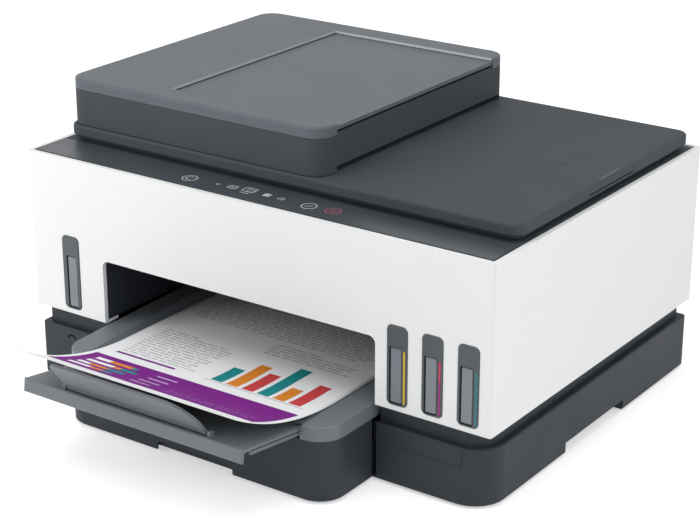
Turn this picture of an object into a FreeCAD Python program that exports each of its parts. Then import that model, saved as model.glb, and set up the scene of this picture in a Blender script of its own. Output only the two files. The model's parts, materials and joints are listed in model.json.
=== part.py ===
"""Ink-tank inkjet printer with a flatbed scanner and a document feeder on its lid.

Every piece is drawn in one frame: X to the right, Y to the back with y = 0 at the outer
shell's front face, Z up with z = 0 on the table. Each piece's Placement then moves that
front face so that the whole printer is centred on the origin.
"""
import FreeCAD, Part
import math
import os
import re
import Sketcher

# Driving dimensions in millimetres, angles in degrees.
DIMENSIONS = {
    # outer shell
    "shell_depth": 328, "shell_bottom": 64.5, "shell_top": 200.9, "edge_break": 1, "overcut": 1,
    "shell_wall": 4, "shell_corner": 3, "ledge_width": 12, "ledge_thick": 2.5,
    # lower housing
    "base_inset": 4, "base_front": 2, "base_behind": 1, "foot_height": 2, "base_rim": 49,
    "base_wall": 2.5, "base_corner": 27, "base_left_corner": 4, "base_back_corner": 2.5,
    "neck_inset": 6, "neck_square": 60,
    "grip_start": 122, "grip_length": 96, "grip_height": 9, "grip_depth": 14,
    "foot_radius": 9, "foot_inset_x": 30, "foot_inset_y": 42,
    # paper tray and the mouth above it
    "tray_margin": 26.8, "front_gap": 1, "tray_reach": 57.5, "tray_corner": 22,
    "tray_top": 52, "tray_wall": 2.5, "tray_run_gap": 0.3, "tray_back": 245, "bin_top": 30,
    "bin_inset": 2, "notch_width": 76, "notch_height": 8, "notch_shift": 4.6,
    "mouth_gap": 3.1, "mouth_top": 120.4, "mouth_corner": 6, "mouth_depth": 138, "liner_wall": 2,
    "guide_room": 1.5, "guide_corner": 8.4, "guide_thick": 2, "guide_height": 21, "guide_start": 60,
    "guide_length": 100, "guide_foot": 18,
    # output cover with its two wings, and the pull-out extension
    "wing_width": 24.7, "wing_front_top": 63.5, "wing_back_top": 68, "wing_back": 118,
    "wing_round": 1.2, "wing_flare": 8, "bed_top": 61.7, "bed_thick": 1.8, "bed_setback": 5.5,
    "bed_back": 130,
    "slide_tilt": 7.9, "slide_reach": 59, "slide_height": 60.5, "slide_gap": 0.6,
    "slide_out": 66, "slide_inside": 50, "slide_thick": 2.6, "rail_width": 2, "rail_depth": 3.2,
    "lip_height": 11, "lip_thick": 2.5, "lip_break": 0.8, "lip_rise": 0.5,
    "stop_width": 136, "stop_shift": 2.1, "stop_length": 35, "stop_thick": 2, "stop_lean": 38,
    "stop_setback": 6, "stop_lift": 2.3, "stop_barrel": 1.8, "ear_rim": 0.4, "stop_pin": 1,
    "stop_corner": 16,
    # printed page
    "page_width": 210, "page_length": 297, "page_thick": 0.3, "page_gap": 0.3,
    "page_curl_start": 8, "page_curl_radius": 238, "page_curl_angle": 36.8,
    # ink windows and tanks
    "black_edge": 17.85, "black_side": 6.65, "colour_edge": 6.75, "colour_side": 4.35, "tank_gap": 3.8,
    "bezel_width": 18.3, "bezel_break": 0.5, "nose_break": 0.5, "window_corner": 1.8,
    "bezel_bottom": 69.5, "bezel_height": 64.7, "bezel_corner": 4.5, "bezel_proud": 0.8,
    "bezel_depth": 7, "bezel_gap": 0.15, "window_width": 9.7, "window_height": 44.3,
    "window_rise": 2.2, "window_side": 3.2, "window_gap": 1, "window_setback": 0.6,
    "tank_width": 27, "black_tank_width": 52, "tank_front": 9, "tank_back": 125, "tank_top": 135,
    "neck_at": 87, "neck_radius": 6, "neck_height": 5, "cap_width": 17, "cap_front": 78,
    "cap_hinge": 98, "cap_thick": 4, "cap_step": 1.2, "cap_gap": 0.3, "cap_tongue": 10, "cap_pin": 1,
    # print mechanism
    "frame_side": 21, "frame_wall": 3, "frame_front": 138, "frame_back": 285, "frame_low": 34,
    "frame_high": 150, "frame_tab": 10, "screw_height": 2.5, "screw_radius": 3.5, "tab_thick": 2,
    "rail_y": 222, "rail_z": 110, "rail_radius": 5,
    "park_gap": 46, "carriage_width": 80, "carriage_front": 152, "carriage_bottom": 72.5,
    "carriage_top": 122, "carriage_back": 230, "head_front": 160, "head_length": 20,
    "head_gap": 0.9, "belt_y": 250, "belt_z": 126, "belt_width": 6, "belt_thick": 1.2, "belt_gap": 0.3,
    "belt_side": 29, "pulley_radius": 8, "shaft_radius": 1.5, "motor_radius": 14,
    "motor_height": 34, "shelf_thick": 2, "shelf_width": 50,
    "feed_y": 190, "roller_radius": 8, "roller_drop": 0.3, "axle_radius": 3,
    "pick_drop": 10.5, "pick_radius": 12, "pick_width": 42, "pinch_radius": 4, "pinch_axle": 1.5,
    "gear_module": 1, "tooth_share": 0.86, "tooth_tip": 0.9, "tooth_root": 1.25, "pressure_angle": 20,
    "feed_teeth": 20,
    "idler_teeth": 20, "pick_teeth": 34,
    "gear_width": 7,
    "gear_side_gap": 2, "run_gap": 0.06,
    # power, electronics and sockets
    "supply_gap": 10, "supply_side": 2.3, "supply_depth": 150, "supply_height": 34, "supply_y": 120,
    "board_width": 48, "chip_pitch": 53.2, "chip_first": 28.5, "chip_side": 19.2, "board_side": 4,
    "board_depth": 190, "board_thick": 1.6, "board_y": 70, "post_height": 5,
    "post_radius": 3, "post_edge": 2, "inlet_width": 22, "contact_pitch": 10.12, "inlet_height": 16,
    "inlet_depth": 22, "inlet_z": 22,
    "inlet_side": 61, "port_side": 31, "socket_gap": 0.2, "port_width": 44, "port_height": 22,
    "port_depth": 22, "socket_wall": 2,
    # rear door and push buttons
    "door_margin": 10, "door_bottom": 84, "door_height": 62, "door_grip_rise": 44.64, "door_gap": 0.6,
    "door_low_gap": 1.4,
    "door_pin": 1.5, "button_radius": 6, "button_gap": 0.3, "button_side": 55, "button_break": 0.9,
    "button_lip": 1.8, "button_z": 165,
    "button_pitch": 24, "button_travel": 2, "button_flange": 2,
    # scanner
    "deck_thick": 1.5, "deck_drop": 1.7, "deck_gap": 0.4, "deck_behind": 8, "deck_hinge_behind": 11.5,
    "deck_hinge_z": 195, "hinge_pin": 2, "pin_reach": 5, "hinge_lug": 4, "ear_width": 5, "ear_drop": 1,
    "side_gap": 1,
    "pin_seat": 3, "deck_hinge_side": 45, "lug_width": 14,
    "tub_side": 9, "tub_front": 9, "tub_behind": 18, "tub_bottom": 168, "tub_wall": 2,
    "glass_side": 60, "glass_front": 58, "glass_behind": 18,
    "glass_thick": 3, "glass_rim": 4, "strip_side": 20, "strip_width": 26, "strip_gap": 18,
    "panel_margin": 0.6, "panel_back": 40.5, "panel_thick": 0.7, "panel_corner": 2,
    "bar_width": 18, "bar_front": 62, "bar_end": 4, "bar_height": 12, "bar_gap": 1.2,
    "scan_rod_y": 175, "scan_rod_z": 176, "scan_rod_radius": 3,
    # lid
    "lid_left_side": 8.5, "lid_right_side": 5.5, "lid_front": 41, "lid_behind": 9.5,
    "lid_bottom": 201.8, "lid_top": 215, "lid_corner": 12, "lid_taper": 5, "lid_round": 2,
    "lid_hinge_behind": 14, "lid_hinge_z": 207, "lid_hinge_side": 75, "tower_width": 16,
    "tower_round": 4, "pad_thick": 3, "pad_proud": 0.8, "pad_margin": 2,
    "catch_width": 44.2, "catch_front": 144.5, "catch_length": 72.2,
    "catch_thick": 3.3, "catch_gap": 0.3, "catch_lip": 8.2, "catch_lip_thick": 2,
    # document feeder
    "feeder_width": 259.5, "feeder_front": 43.5, "feeder_behind": 0.5, "feeder_corner": 16,
    "seam_height": 0.6, "seam_inset": 1.5,
    "feeder_wall": 2.5, "bore_end": 1, "feeder_top": 245.2, "exit_height": 4.7, "exit_step": 5,
    "feeder_floor": 2.5, "post_front": 20.8, "post_back": 6.8, "panel_inset": 1,
    "panel_rise": 1.7, "shelf_height": 27, "chamber_step": 1, "cover_gap": 0.3,
    "cover_rise": 9.3, "cover_skin": 2.5, "cover_round": 2, "cover_hinge": 3, "relief": 1.6, "knuckle": 2.7,
    "knuckle_pin": 1.5, "knuckle_width": 6, "knuckle_inset": 46, "flap_start": 93.5,
    "flap_front": 65, "flap_behind": 24, "flap_drop": 2.5, "flap_thick": 3, "flap_gap": 0.5,
    "flap_pin": 1.2, "drum_start": 44.5, "drum_z": 233, "drum_radius": 9.5, "nip_radius": 6,
    "nip_gap": 0.3, "drum_inset": 26,
}

# Sizes and places that follow from the driving ones: what fits, seats or lines up with another piece.
DERIVED = {
    # across: the page sets the tray, and the tray and the tanks beside it set the shell
    "tray_width": "page_width + 2 * tray_margin",
    "colour_pitch": "tank_width + tank_gap",
    "black_bay": "mouth_gap + liner_wall + black_side + black_tank_width + black_edge",
    "colour_bay": "mouth_gap + liner_wall + colour_side + 2 * colour_pitch + tank_width + colour_edge",
    "shell_width": "black_bay + tray_width + colour_bay",
    "tray_centre": "black_bay + tray_width / 2 - shell_width / 2",
    "black_at": "-shell_width / 2 + black_edge + black_tank_width / 2",
    "colour_first": "shell_width / 2 - colour_edge - 2 * colour_pitch - tank_width / 2",
    "guide_half_gap": "page_width / 2 + guide_room",
    "door_width": "page_width + 2 * door_margin",
    "base_width": "shell_width - 2 * base_inset",
    "supply_left": "tray_centre + tray_width / 2 + supply_gap",
    "supply_width": "base_width / 2 - grip_depth - base_wall - supply_side - supply_left",
    "inlet_left": "base_width / 2 - inlet_side",
    "port_left": "-base_width / 2 + port_side",
    "button_x": "shell_width / 2 - button_side",
    "frame_half": "shell_width / 2 - frame_side",
    "belt_half": "frame_half - belt_side",
    "carriage_park": "frame_half - park_gap",
    "tub_half": "shell_width / 2 - tub_side",
    "strip_left": "-tub_half + strip_side",
    "bar_park": "strip_left + strip_width / 2",
    "glass_left": "strip_left + strip_width + strip_gap",
    "glass_right": "tub_half - glass_side",
    "pad_half": "glass_right + pad_margin",
    "deck_hinge_x": "shell_width / 2 - deck_hinge_side",
    "lid_hinge_x": "shell_width / 2 - lid_hinge_side",
    "lid_left": "-shell_width / 2 + lid_left_side",
    "lid_right": "shell_width / 2 - lid_right_side",
    "feeder_right": "lid_left + feeder_width",
    "flap_left": "lid_left + flap_start",
    "chamber_right": "flap_left + chamber_step",
    "exit_left": "flap_left + exit_step",
    "drum_x": "lid_left + drum_start",
    "cover_top": "feeder_top + cover_rise",
    # front to back: the shell's back wall sets the hinges, and these set what turns on them
    "base_back": "shell_depth + base_behind",
    "deck_edge": "shell_wall + deck_gap",
    "deck_back": "shell_depth - deck_behind",
    "deck_hinge_y": "shell_depth - deck_hinge_behind",
    "tub_back": "shell_depth - tub_behind",
    "glass_back": "tub_back - glass_behind",
    "bar_length": "glass_back - bar_end - bar_front",
    "pad_front": "glass_front - pad_margin",
    "pad_back": "glass_back + pad_margin",
    "panel_front": "deck_edge + panel_margin",
    "lid_back": "shell_depth - lid_behind",
    "lid_hinge_y": "shell_depth - lid_hinge_behind",
    "feeder_back": "lid_back - feeder_behind",
    "flap_back": "feeder_back - flap_behind",
}

# An edge nearer to a plane than this lies on it.
NEAR = 0.01
DOC = FreeCAD.newDocument("inkjet_printer")
SHEET = DOC.addObject("Spreadsheet::Sheet", "Sheet")
ALIAS = re.compile(r"\b(" + "|".join([*DIMENSIONS, *DERIVED]) + r")\b")

# Sizes that several pieces share, each written once from the driving dimensions.
FACE_Y = "(page_curl_start + page_curl_radius * sin(page_curl_angle * 1deg) - base_back) / 2"
TRAY_LEFT = "tray_centre - tray_width / 2"
MOUTH_LEFT = f"{TRAY_LEFT} - mouth_gap"
MOUTH_WIDTH = "tray_width + 2 * mouth_gap"
HOUSING_FLOOR = "foot_height + base_wall"
TRAY_FLOOR = f"{HOUSING_FLOOR} + tray_run_gap"
LEDGE_TOP = "shell_bottom + ledge_thick"
DECK_BOTTOM = "shell_top - deck_drop"
DECK_TOP = f"{DECK_BOTTOM} + deck_thick"
PAGE_LEFT = "tray_centre - page_width / 2"
PAGE_BOTTOM = "bed_top + page_gap"
ROLLER_Z = "bed_top - roller_drop - roller_radius"
FLAP_TOP = "cover_top - flap_drop"
COVER_BOTTOM = "feeder_top + cover_gap"


def fill_sheet():
    """Write each driving dimension and its alias into the spreadsheet."""
    for row, (alias, value) in enumerate(DIMENSIONS.items(), start=1):
        SHEET.set(f"A{row}", alias)
        SHEET.set(f"B{row}", str(value))
        SHEET.setAlias(f"B{row}", alias)
    DOC.recompute()


def bind(text):
    """Turn a size text into an expression on the sheet, with each derived size written out."""
    def written(found):
        name = found[1]
        return f"({bind(DERIVED[name])})" if name in DERIVED else f"Sheet.{name}"

    return ALIAS.sub(written, str(text))


def size(text):
    """Work out the number that a size text stands for."""
    return float(SHEET.evalExpression(bind(text)))


def new_body(label, y=None, z=None, turn=None):
    """Start a sub-part; y and z move its own origin, turn tips it about X in degrees."""
    body = DOC.addObject("PartDesign::Body", label)
    body.Label = label
    body.setExpression("Placement.Base.y", bind(FACE_Y if y is None else f"{FACE_Y} + {y}"))
    if z is not None:
        body.setExpression("Placement.Base.z", bind(z))
    if turn is not None:
        body.Placement.Rotation = FreeCAD.Rotation(FreeCAD.Vector(1, 0, 0), size(turn))
    return body


def sketch_on(body, name, plane, corner):
    """Attach a sketch to one of the body's origin planes, with its origin at a corner point."""
    x, y, z = corner
    offset = {"XY": (x, y, z), "XZ": (x, z, f"-({y})"), "YZ": (y, z, x)}[plane]
    sketch = body.newObject("Sketcher::SketchObject", name + "_sketch")
    planes = {feature.Role: feature for feature in body.Origin.OriginFeatures}
    sketch.AttachmentSupport = (planes[plane + "_Plane"], [""])
    sketch.MapMode = "FlatFace"
    for axis, text in zip("xyz", offset):
        sketch.setExpression(f"AttachmentOffset.Base.{axis}", bind(text))
    return sketch


def hold(sketch, kind, *where):
    """Add a constraint whose last value is a size text, and bind it to the sheet."""
    *points, text = where
    index = sketch.addConstraint(Sketcher.Constraint(kind, *points, size(text)))
    sketch.setExpression(f"Constraints[{index}]", bind(text))


def draw_rectangle(sketch, width, height):
    """Draw a rectangle from the sketch's origin."""
    draw_outline(sketch, [("0", "0"), (width, "0"), (width, height), ("0", height)])


def draw_rounded(sketch, width, height, radius):
    """Draw a rectangle from the sketch's origin with four tangent corner arcs."""
    w, h, r = size(width), size(height), size(radius)
    point = FreeCAD.Vector
    sides = [((r, 0), (w - r, 0)), ((w, r), (w, h - r)), ((w - r, h), (r, h)), ((0, h - r), (0, r))]
    for start, end in sides:
        sketch.addGeometry(Part.LineSegment(point(*start, 0), point(*end, 0)))
    centres = [(w - r, r), (w - r, h - r), (r, h - r), (r, r)]
    for quarter, centre in enumerate(centres):
        circle = Part.Circle(point(*centre, 0), point(0, 0, 1), r)
        start = (quarter - 1) * math.pi / 2
        sketch.addGeometry(Part.ArcOfCircle(circle, start, start + math.pi / 2))
    for side in range(4):
        sketch.addConstraint(Sketcher.Constraint("Tangent", side, 2, 4 + side, 1))
        sketch.addConstraint(Sketcher.Constraint("Tangent", 4 + side, 2, (side + 1) % 4, 1))
        sketch.addConstraint(Sketcher.Constraint(["Horizontal", "Vertical"][side % 2], side))
    for corner in (5, 6, 7):
        sketch.addConstraint(Sketcher.Constraint("Equal", 4, corner))
    sketch.addConstraint(Sketcher.Constraint("PointOnObject", 0, 1, -1))
    sketch.addConstraint(Sketcher.Constraint("PointOnObject", 3, 1, -2))
    hold(sketch, "Radius", 4, radius)
    hold(sketch, "DistanceX", 3, 1, 1, 1, width)
    hold(sketch, "DistanceY", 0, 1, 2, 1, height)


def draw_outline(sketch, points):
    """Draw a closed polygon whose corners are size texts from the sketch's origin."""
    corners = [FreeCAD.Vector(size(u), size(v), 0) for u, v in points]
    count = len(corners)
    for index, corner in enumerate(corners):
        sketch.addGeometry(Part.LineSegment(corner, corners[(index + 1) % count]))
    for index, (u, v) in enumerate(points):
        sketch.addConstraint(Sketcher.Constraint("Coincident", index, 2, (index + 1) % count, 1))
        hold(sketch, "DistanceX", -1, 1, index, 1, u)
        hold(sketch, "DistanceY", -1, 1, index, 1, v)


def draw_circle(sketch, radius):
    """Draw a circle about the sketch's origin."""
    circle = Part.Circle(FreeCAD.Vector(0, 0, 0), FreeCAD.Vector(0, 0, 1), size(radius))
    sketch.addGeometry(circle)
    sketch.addConstraint(Sketcher.Constraint("Coincident", 0, 3, -1, 1))
    hold(sketch, "Radius", 0, radius)


def extrude(body, name, sketch, plane, depth, cut):
    """Pad or pocket a sketch towards the positive side of its plane's axis."""
    feature = body.newObject("PartDesign::Pocket" if cut else "PartDesign::Pad", name)
    feature.Profile = sketch
    feature.setExpression("Length", bind(depth))
    feature.Reversed = (plane == "XZ") != cut
    return feature


def block(body, name, plane, corner, width, height, depth, radius=None, cut=False):
    """Add or cut a block: its rectangle lies in the plane, its depth runs along the axis."""
    sketch = sketch_on(body, name, plane, corner)
    if radius is None:
        draw_rectangle(sketch, width, height)
    else:
        draw_rounded(sketch, width, height, radius)
    return extrude(body, name, sketch, plane, depth, cut)


def rod(body, name, plane, centre, radius, depth, cut=False):
    """Add or bore a cylinder from a centre point along the plane's axis."""
    sketch = sketch_on(body, name, plane, centre)
    draw_circle(sketch, radius)
    return extrude(body, name, sketch, plane, depth, cut)


def prism(body, name, plane, corner, points, depth, cut=False):
    """Add or cut a prism with a polygon section."""
    sketch = sketch_on(body, name, plane, corner)
    draw_outline(sketch, points)
    return extrude(body, name, sketch, plane, depth, cut)


def finish_edges(body, name, kind, amount, wanted):
    """Fillet or chamfer the edges of the body's last feature that a test picks out."""
    DOC.recompute()
    base = body.Tip
    picked = [f"Edge{n}" for n, edge in enumerate(base.Shape.Edges, start=1) if wanted(edge)]
    feature = body.newObject("PartDesign::" + kind, name)
    feature.Base = (base, picked)
    feature.setExpression("Radius" if kind == "Fillet" else "Size", bind(amount))
    return feature


def lies_on(edge, **planes):
    """Tell whether an edge lies in planes such as Z="lid_top"."""
    box = edge.BoundBox
    low_high = {"X": (box.XMin, box.XMax), "Y": (box.YMin, box.YMax), "Z": (box.ZMin, box.ZMax)}
    return all(max(abs(value - size(text)) for value in low_high[axis]) < NEAR
               for axis, text in planes.items())


def upright(edge):
    """Tell whether an edge is a straight line along Z."""
    return edge.BoundBox.XLength < NEAR and edge.BoundBox.YLength < NEAR


BOARD_LEFT = "-base_width / 2 + base_wall + grip_depth + board_side"
STOP_LEFT = "tray_centre + stop_shift - stop_width / 2"
STOP_ARM = "(slide_out - stop_setback)"
STOP_Y = f"-slide_reach - {STOP_ARM} * cos(slide_tilt * 1deg) + stop_lift * sin(slide_tilt * 1deg)"
STOP_Z = f"slide_height + {STOP_ARM} * sin(slide_tilt * 1deg) + stop_lift * cos(slide_tilt * 1deg)"
SLIDE_LEFT = f"{TRAY_LEFT} + wing_width + slide_gap"
SLIDE_WIDTH = "tray_width - 2 * wing_width - 2 * slide_gap"
CAP_Z = "tank_top + neck_height + cap_gap + cap_thick / 2"
INKS = {
    "black": ("black_at", "black_tank_width", True),
    "yellow": ("colour_first", "tank_width", False),
    "magenta": ("(colour_first + colour_pitch)", "tank_width", False),
    "cyan": ("(colour_first + 2 * colour_pitch)", "tank_width", False),
}


def board_posts():
    """List the x and y of the four posts that carry the main board."""
    inset = "post_radius + post_edge"
    xs = [f"{BOARD_LEFT} + {inset}", f"{BOARD_LEFT} + board_width - ({inset})"]
    ys = [f"board_y + {inset}", f"board_y + board_depth - ({inset})"]
    return [(x, y) for x in xs for y in ys]


def make_lower_housing():
    """Dark tub that carries everything: one broad rounded front corner, a recessed neck, hand grips."""
    body = new_body("lower_housing")
    left = "-base_width / 2"
    depth = "base_back - base_front"
    block(body, "tub", "XY", (left, "base_front", "foot_height"),
          "base_width", depth, "base_rim - foot_height")
    finish_edges(body, "tub_right_corner", "Fillet", "base_corner",
                 lambda edge: upright(edge) and lies_on(edge, X="base_width / 2", Y="base_front"))
    finish_edges(body, "tub_left_corner", "Fillet", "base_left_corner",
                 lambda edge: upright(edge) and lies_on(edge, X=left, Y="base_front"))
    finish_edges(body, "tub_back_corners", "Fillet", "base_back_corner",
                 lambda edge: upright(edge) and lies_on(edge, Y="base_back"))
    finish_edges(body, "tub_rims", "Chamfer", "edge_break",
                 lambda edge: lies_on(edge, Z="base_rim") or lies_on(edge, Z="foot_height"))
    block(body, "tub_inside", "XY", (f"{left} + base_wall", "base_front + base_wall", HOUSING_FLOOR),
          "base_width - 2 * base_wall", f"{depth} - 2 * base_wall",
          f"base_rim - base_wall - ({HOUSING_FLOOR})", "base_corner - base_wall", cut=True)
    block(body, "neck", "XY", (f"{left} + neck_inset", "base_front + neck_inset",
                               "base_rim - base_wall / 2"),
          "base_width - 2 * neck_inset", f"{depth} - 2 * neck_inset",
          "shell_bottom - base_rim + base_wall / 2", "base_corner - neck_inset")
    block(body, "neck_back", "XY", (f"{left} + neck_inset", "base_back - neck_inset - neck_square",
                                    "base_rim - base_wall / 2"),
          "base_width - 2 * neck_inset", "neck_square", "shell_bottom - base_rim + base_wall / 2")
    block(body, "neck_left", "XY", (f"{left} + neck_inset", "base_front + neck_inset",
                                    "base_rim - base_wall / 2"),
          "base_corner", "base_corner", "shell_bottom - base_rim + base_wall / 2")
    inset = "(neck_inset + base_wall)"
    block(body, "neck_inside", "XY", (f"{left} + {inset}", f"base_front + {inset}",
                                      "base_rim - 2 * base_wall"),
          f"base_width - 2 * {inset}", f"{depth} - 2 * {inset}",
          "shell_bottom - base_rim + 3 * base_wall", f"base_corner - {inset}", cut=True)
    block(body, "tray_bay", "XY", (MOUTH_LEFT, "base_front - overcut", HOUSING_FLOOR),
          MOUTH_WIDTH, f"{inset} + 2 * overcut", f"shell_bottom - ({HOUSING_FLOOR}) + overcut", cut=True)
    add_hand_grips(body)
    for x, y in board_posts():
        rod(body, "board_post", "XY", (x, y, HOUSING_FLOOR), "post_radius", "post_height")
    for corner, width, height in (("inlet_left", "inlet_width", "inlet_height"),
                                  ("port_left", "port_width", "port_height")):
        block(body, "socket_hole", "XZ",
              (f"{corner} - socket_gap", "base_back - base_wall - overcut", "inlet_z - socket_gap"),
              f"{width} + 2 * socket_gap", f"{height} + 2 * socket_gap", "base_wall + 2 * overcut", cut=True)
    return body


def add_hand_grips(body):
    """Form a closed finger recess along the bottom edge of each side."""
    for wall_left, cut_left in (("-base_width / 2", "-base_width / 2 - 1"),
                                ("base_width / 2 - grip_depth - base_wall", "base_width / 2 - grip_depth")):
        block(body, "grip_wall", "XY", (wall_left, "grip_start - base_wall", "foot_height + base_wall / 2"),
              "grip_depth + base_wall", "grip_length + 2 * base_wall", "grip_height + base_wall / 2")
        block(body, "grip", "XY", (cut_left, "grip_start", "foot_height - overcut"),
              "grip_depth + overcut", "grip_length", "grip_height + overcut", cut=True)


def make_outer_shell():
    """White upper housing: four walls, an inner ledge, the paper mouth and the ink windows."""
    body = new_body("outer_shell")
    inside = "(shell_wall + ledge_width)"
    block(body, "walls", "XY", ("-shell_width / 2", "0", "shell_bottom"),
          "shell_width", "shell_depth", "shell_top - shell_bottom", "shell_corner")
    finish_edges(body, "lower_edge", "Chamfer", "edge_break",
                 lambda edge: lies_on(edge, Z="shell_bottom"))
    block(body, "inside", "XY", ("-shell_width / 2 + shell_wall", "shell_wall", LEDGE_TOP),
          "shell_width - 2 * shell_wall", "shell_depth - 2 * shell_wall", "shell_top", cut=True)
    block(body, "ledge_opening", "XY", (f"-shell_width / 2 + {inside}", inside, "shell_bottom - overcut"),
          f"shell_width - 2 * {inside}", f"shell_depth - 2 * {inside}", "ledge_thick + 2 * overcut",
          cut=True)
    block(body, "mouth", "XZ", (MOUTH_LEFT, "-overcut", "shell_bottom - 3 * mouth_corner"), MOUTH_WIDTH,
          "mouth_top - shell_bottom + 3 * mouth_corner", f"{inside} + 2 * overcut", "mouth_corner", cut=True)
    for ink, (centre, _, _) in INKS.items():
        block(body, f"window_{ink}", "XZ",
              (f"{centre} - bezel_width / 2 - bezel_gap", "-overcut", "bezel_bottom - bezel_gap"),
              "bezel_width + 2 * bezel_gap", "bezel_height + 2 * bezel_gap", "shell_wall + 2 * overcut",
              "bezel_corner + bezel_gap", cut=True)
    cut_rear_openings(body)
    for side in (-1, 1):
        add_hinge_ears(body, f"{side} * deck_hinge_x")
    return body


def cut_rear_openings(body):
    """Open the back wall for the jam door, its pins and the two push buttons."""
    wall_y = "shell_depth - shell_wall - overcut"
    door_left = "tray_centre - door_width / 2 - door_gap"
    block(body, "door_opening", "XZ", (door_left, wall_y, "door_bottom - door_low_gap"),
          "door_width + 2 * door_gap", "door_height + door_gap + door_low_gap",
          "shell_wall + 2 * overcut", cut=True)
    rod(body, "door_pin_holes", "YZ",
        (f"{door_left} - pin_seat", "shell_depth - shell_wall / 2", "door_bottom + shell_wall / 2"),
        "door_pin + run_gap", "door_width + 2 * door_gap + 2 * pin_seat", cut=True)
    for number in (0, 1):
        rod(body, "button_hole", "XZ", (f"button_x - {number} * button_pitch", wall_y, "button_z"),
            "button_radius + button_gap", "shell_wall + 2 * overcut", cut=True)


def add_hinge_ears(body, centre):
    """Add two ears on the back wall with a hinge pin across them for the scanner."""
    gap = "(lug_width / 2 + side_gap)"
    for ear_left in (f"{centre} - {gap} - ear_width", f"{centre} + {gap}"):
        block(body, "scanner_ear", "YZ", (ear_left, "deck_hinge_y - hinge_lug", "deck_hinge_z - hinge_lug"),
              "shell_depth - shell_wall / 2 - deck_hinge_y + hinge_lug", "2 * hinge_lug - ear_drop",
              "ear_width")
    rod(body, "scanner_pin", "YZ", (f"{centre} - {gap} - overcut", "deck_hinge_y", "deck_hinge_z"),
        "hinge_pin", f"2 * {gap} + 2 * overcut")


def make_mouth_liner():
    """Dark arch behind the paper mouth: two side walls and a roof."""
    body = new_body("mouth_liner")
    height = f"mouth_top - ({LEDGE_TOP})"
    block(body, "arch", "XY", (f"{MOUTH_LEFT} - liner_wall", "shell_wall", LEDGE_TOP),
          f"{MOUTH_WIDTH} + 2 * liner_wall", "mouth_depth - shell_wall", f"{height} + liner_wall")
    block(body, "arch_inside", "XY", (MOUTH_LEFT, "shell_wall - overcut", f"{LEDGE_TOP} - overcut"),
          MOUTH_WIDTH, "mouth_depth - shell_wall + 2 * overcut", f"{height} + overcut", cut=True)
    return body


def make_input_tray():
    """Drawer for blank paper: a deep rounded front and a low bin that runs under the printer."""
    body = new_body("input_tray")
    front_depth = "tray_reach + base_front - front_gap"
    floor_top = f"{TRAY_FLOOR} + tray_wall"
    inner_corner = "tray_corner - tray_wall"
    block(body, "front", "XY", (TRAY_LEFT, "-tray_reach", "foot_height"),
          "tray_width", front_depth, "tray_top - foot_height")
    finish_edges(body, "front_corners", "Fillet", "tray_corner",
                 lambda edge: upright(edge) and lies_on(edge, Y="-tray_reach"))
    finish_edges(body, "front_foot", "Chamfer", "edge_break",
                 lambda edge: lies_on(edge, Z="foot_height") and not lies_on(edge,
                 Y="base_front - front_gap"))
    block(body, "bin", "XY", (f"{TRAY_LEFT} + bin_inset", "base_front - 2 * front_gap", TRAY_FLOOR),
          "tray_width - 2 * bin_inset", "tray_back - base_front + 2 * front_gap",
          f"bin_top - ({TRAY_FLOOR})")
    block(body, "underside", "XY", (f"{TRAY_LEFT} + tray_wall", "-tray_reach + tray_wall",
                                    "foot_height - overcut"),
          "tray_width - 2 * tray_wall", "tray_reach + base_front + tray_corner",
          f"{TRAY_FLOOR} - foot_height + overcut", inner_corner, cut=True)
    block(body, "front_inside", "XY", (f"{TRAY_LEFT} + tray_wall", "-tray_reach + tray_wall", floor_top),
          "tray_width - 2 * tray_wall", f"{front_depth} - 2 * tray_wall", "tray_top", inner_corner, cut=True)
    block(body, "bin_inside", "XY",
          (f"{TRAY_LEFT} + bin_inset + tray_wall", "-tray_reach + tray_corner", floor_top),
          "tray_width - 2 * bin_inset - 2 * tray_wall", "tray_back + tray_reach - tray_corner - tray_wall",
          "tray_top", cut=True)
    block(body, "finger_notch", "XZ",
          ("tray_centre + notch_shift - notch_width / 2", "-tray_reach - overcut",
          "foot_height - notch_height"),
          "notch_width", "2 * notch_height", "tray_wall + 2 * overcut", "notch_height * 0.6", cut=True)
    return body


def make_paper_guide(label, side):
    """Upright paper guide on a foot that slides across the tray; side is -1 or 1."""
    body = new_body(label)
    low = f"{TRAY_FLOOR} + tray_wall + tray_run_gap"
    edge = f"tray_centre + {side} * guide_half_gap"
    wall_left = f"{edge} - guide_thick" if side < 0 else edge
    foot_left = f"{edge} - guide_foot" if side < 0 else edge
    block(body, "foot", "XY", (foot_left, "guide_start", low), "guide_foot", "guide_length", "guide_thick")
    block(body, "upright", "YZ", (wall_left, "guide_start", low), "guide_length", "guide_height",
          "guide_thick")
    finish_edges(body, "upright_corners", "Fillet", "guide_corner",
                 lambda edge_: lies_on(edge_, Z=f"{low} + guide_height")
                 and edge_.BoundBox.YLength < NEAR)
    return body


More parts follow.
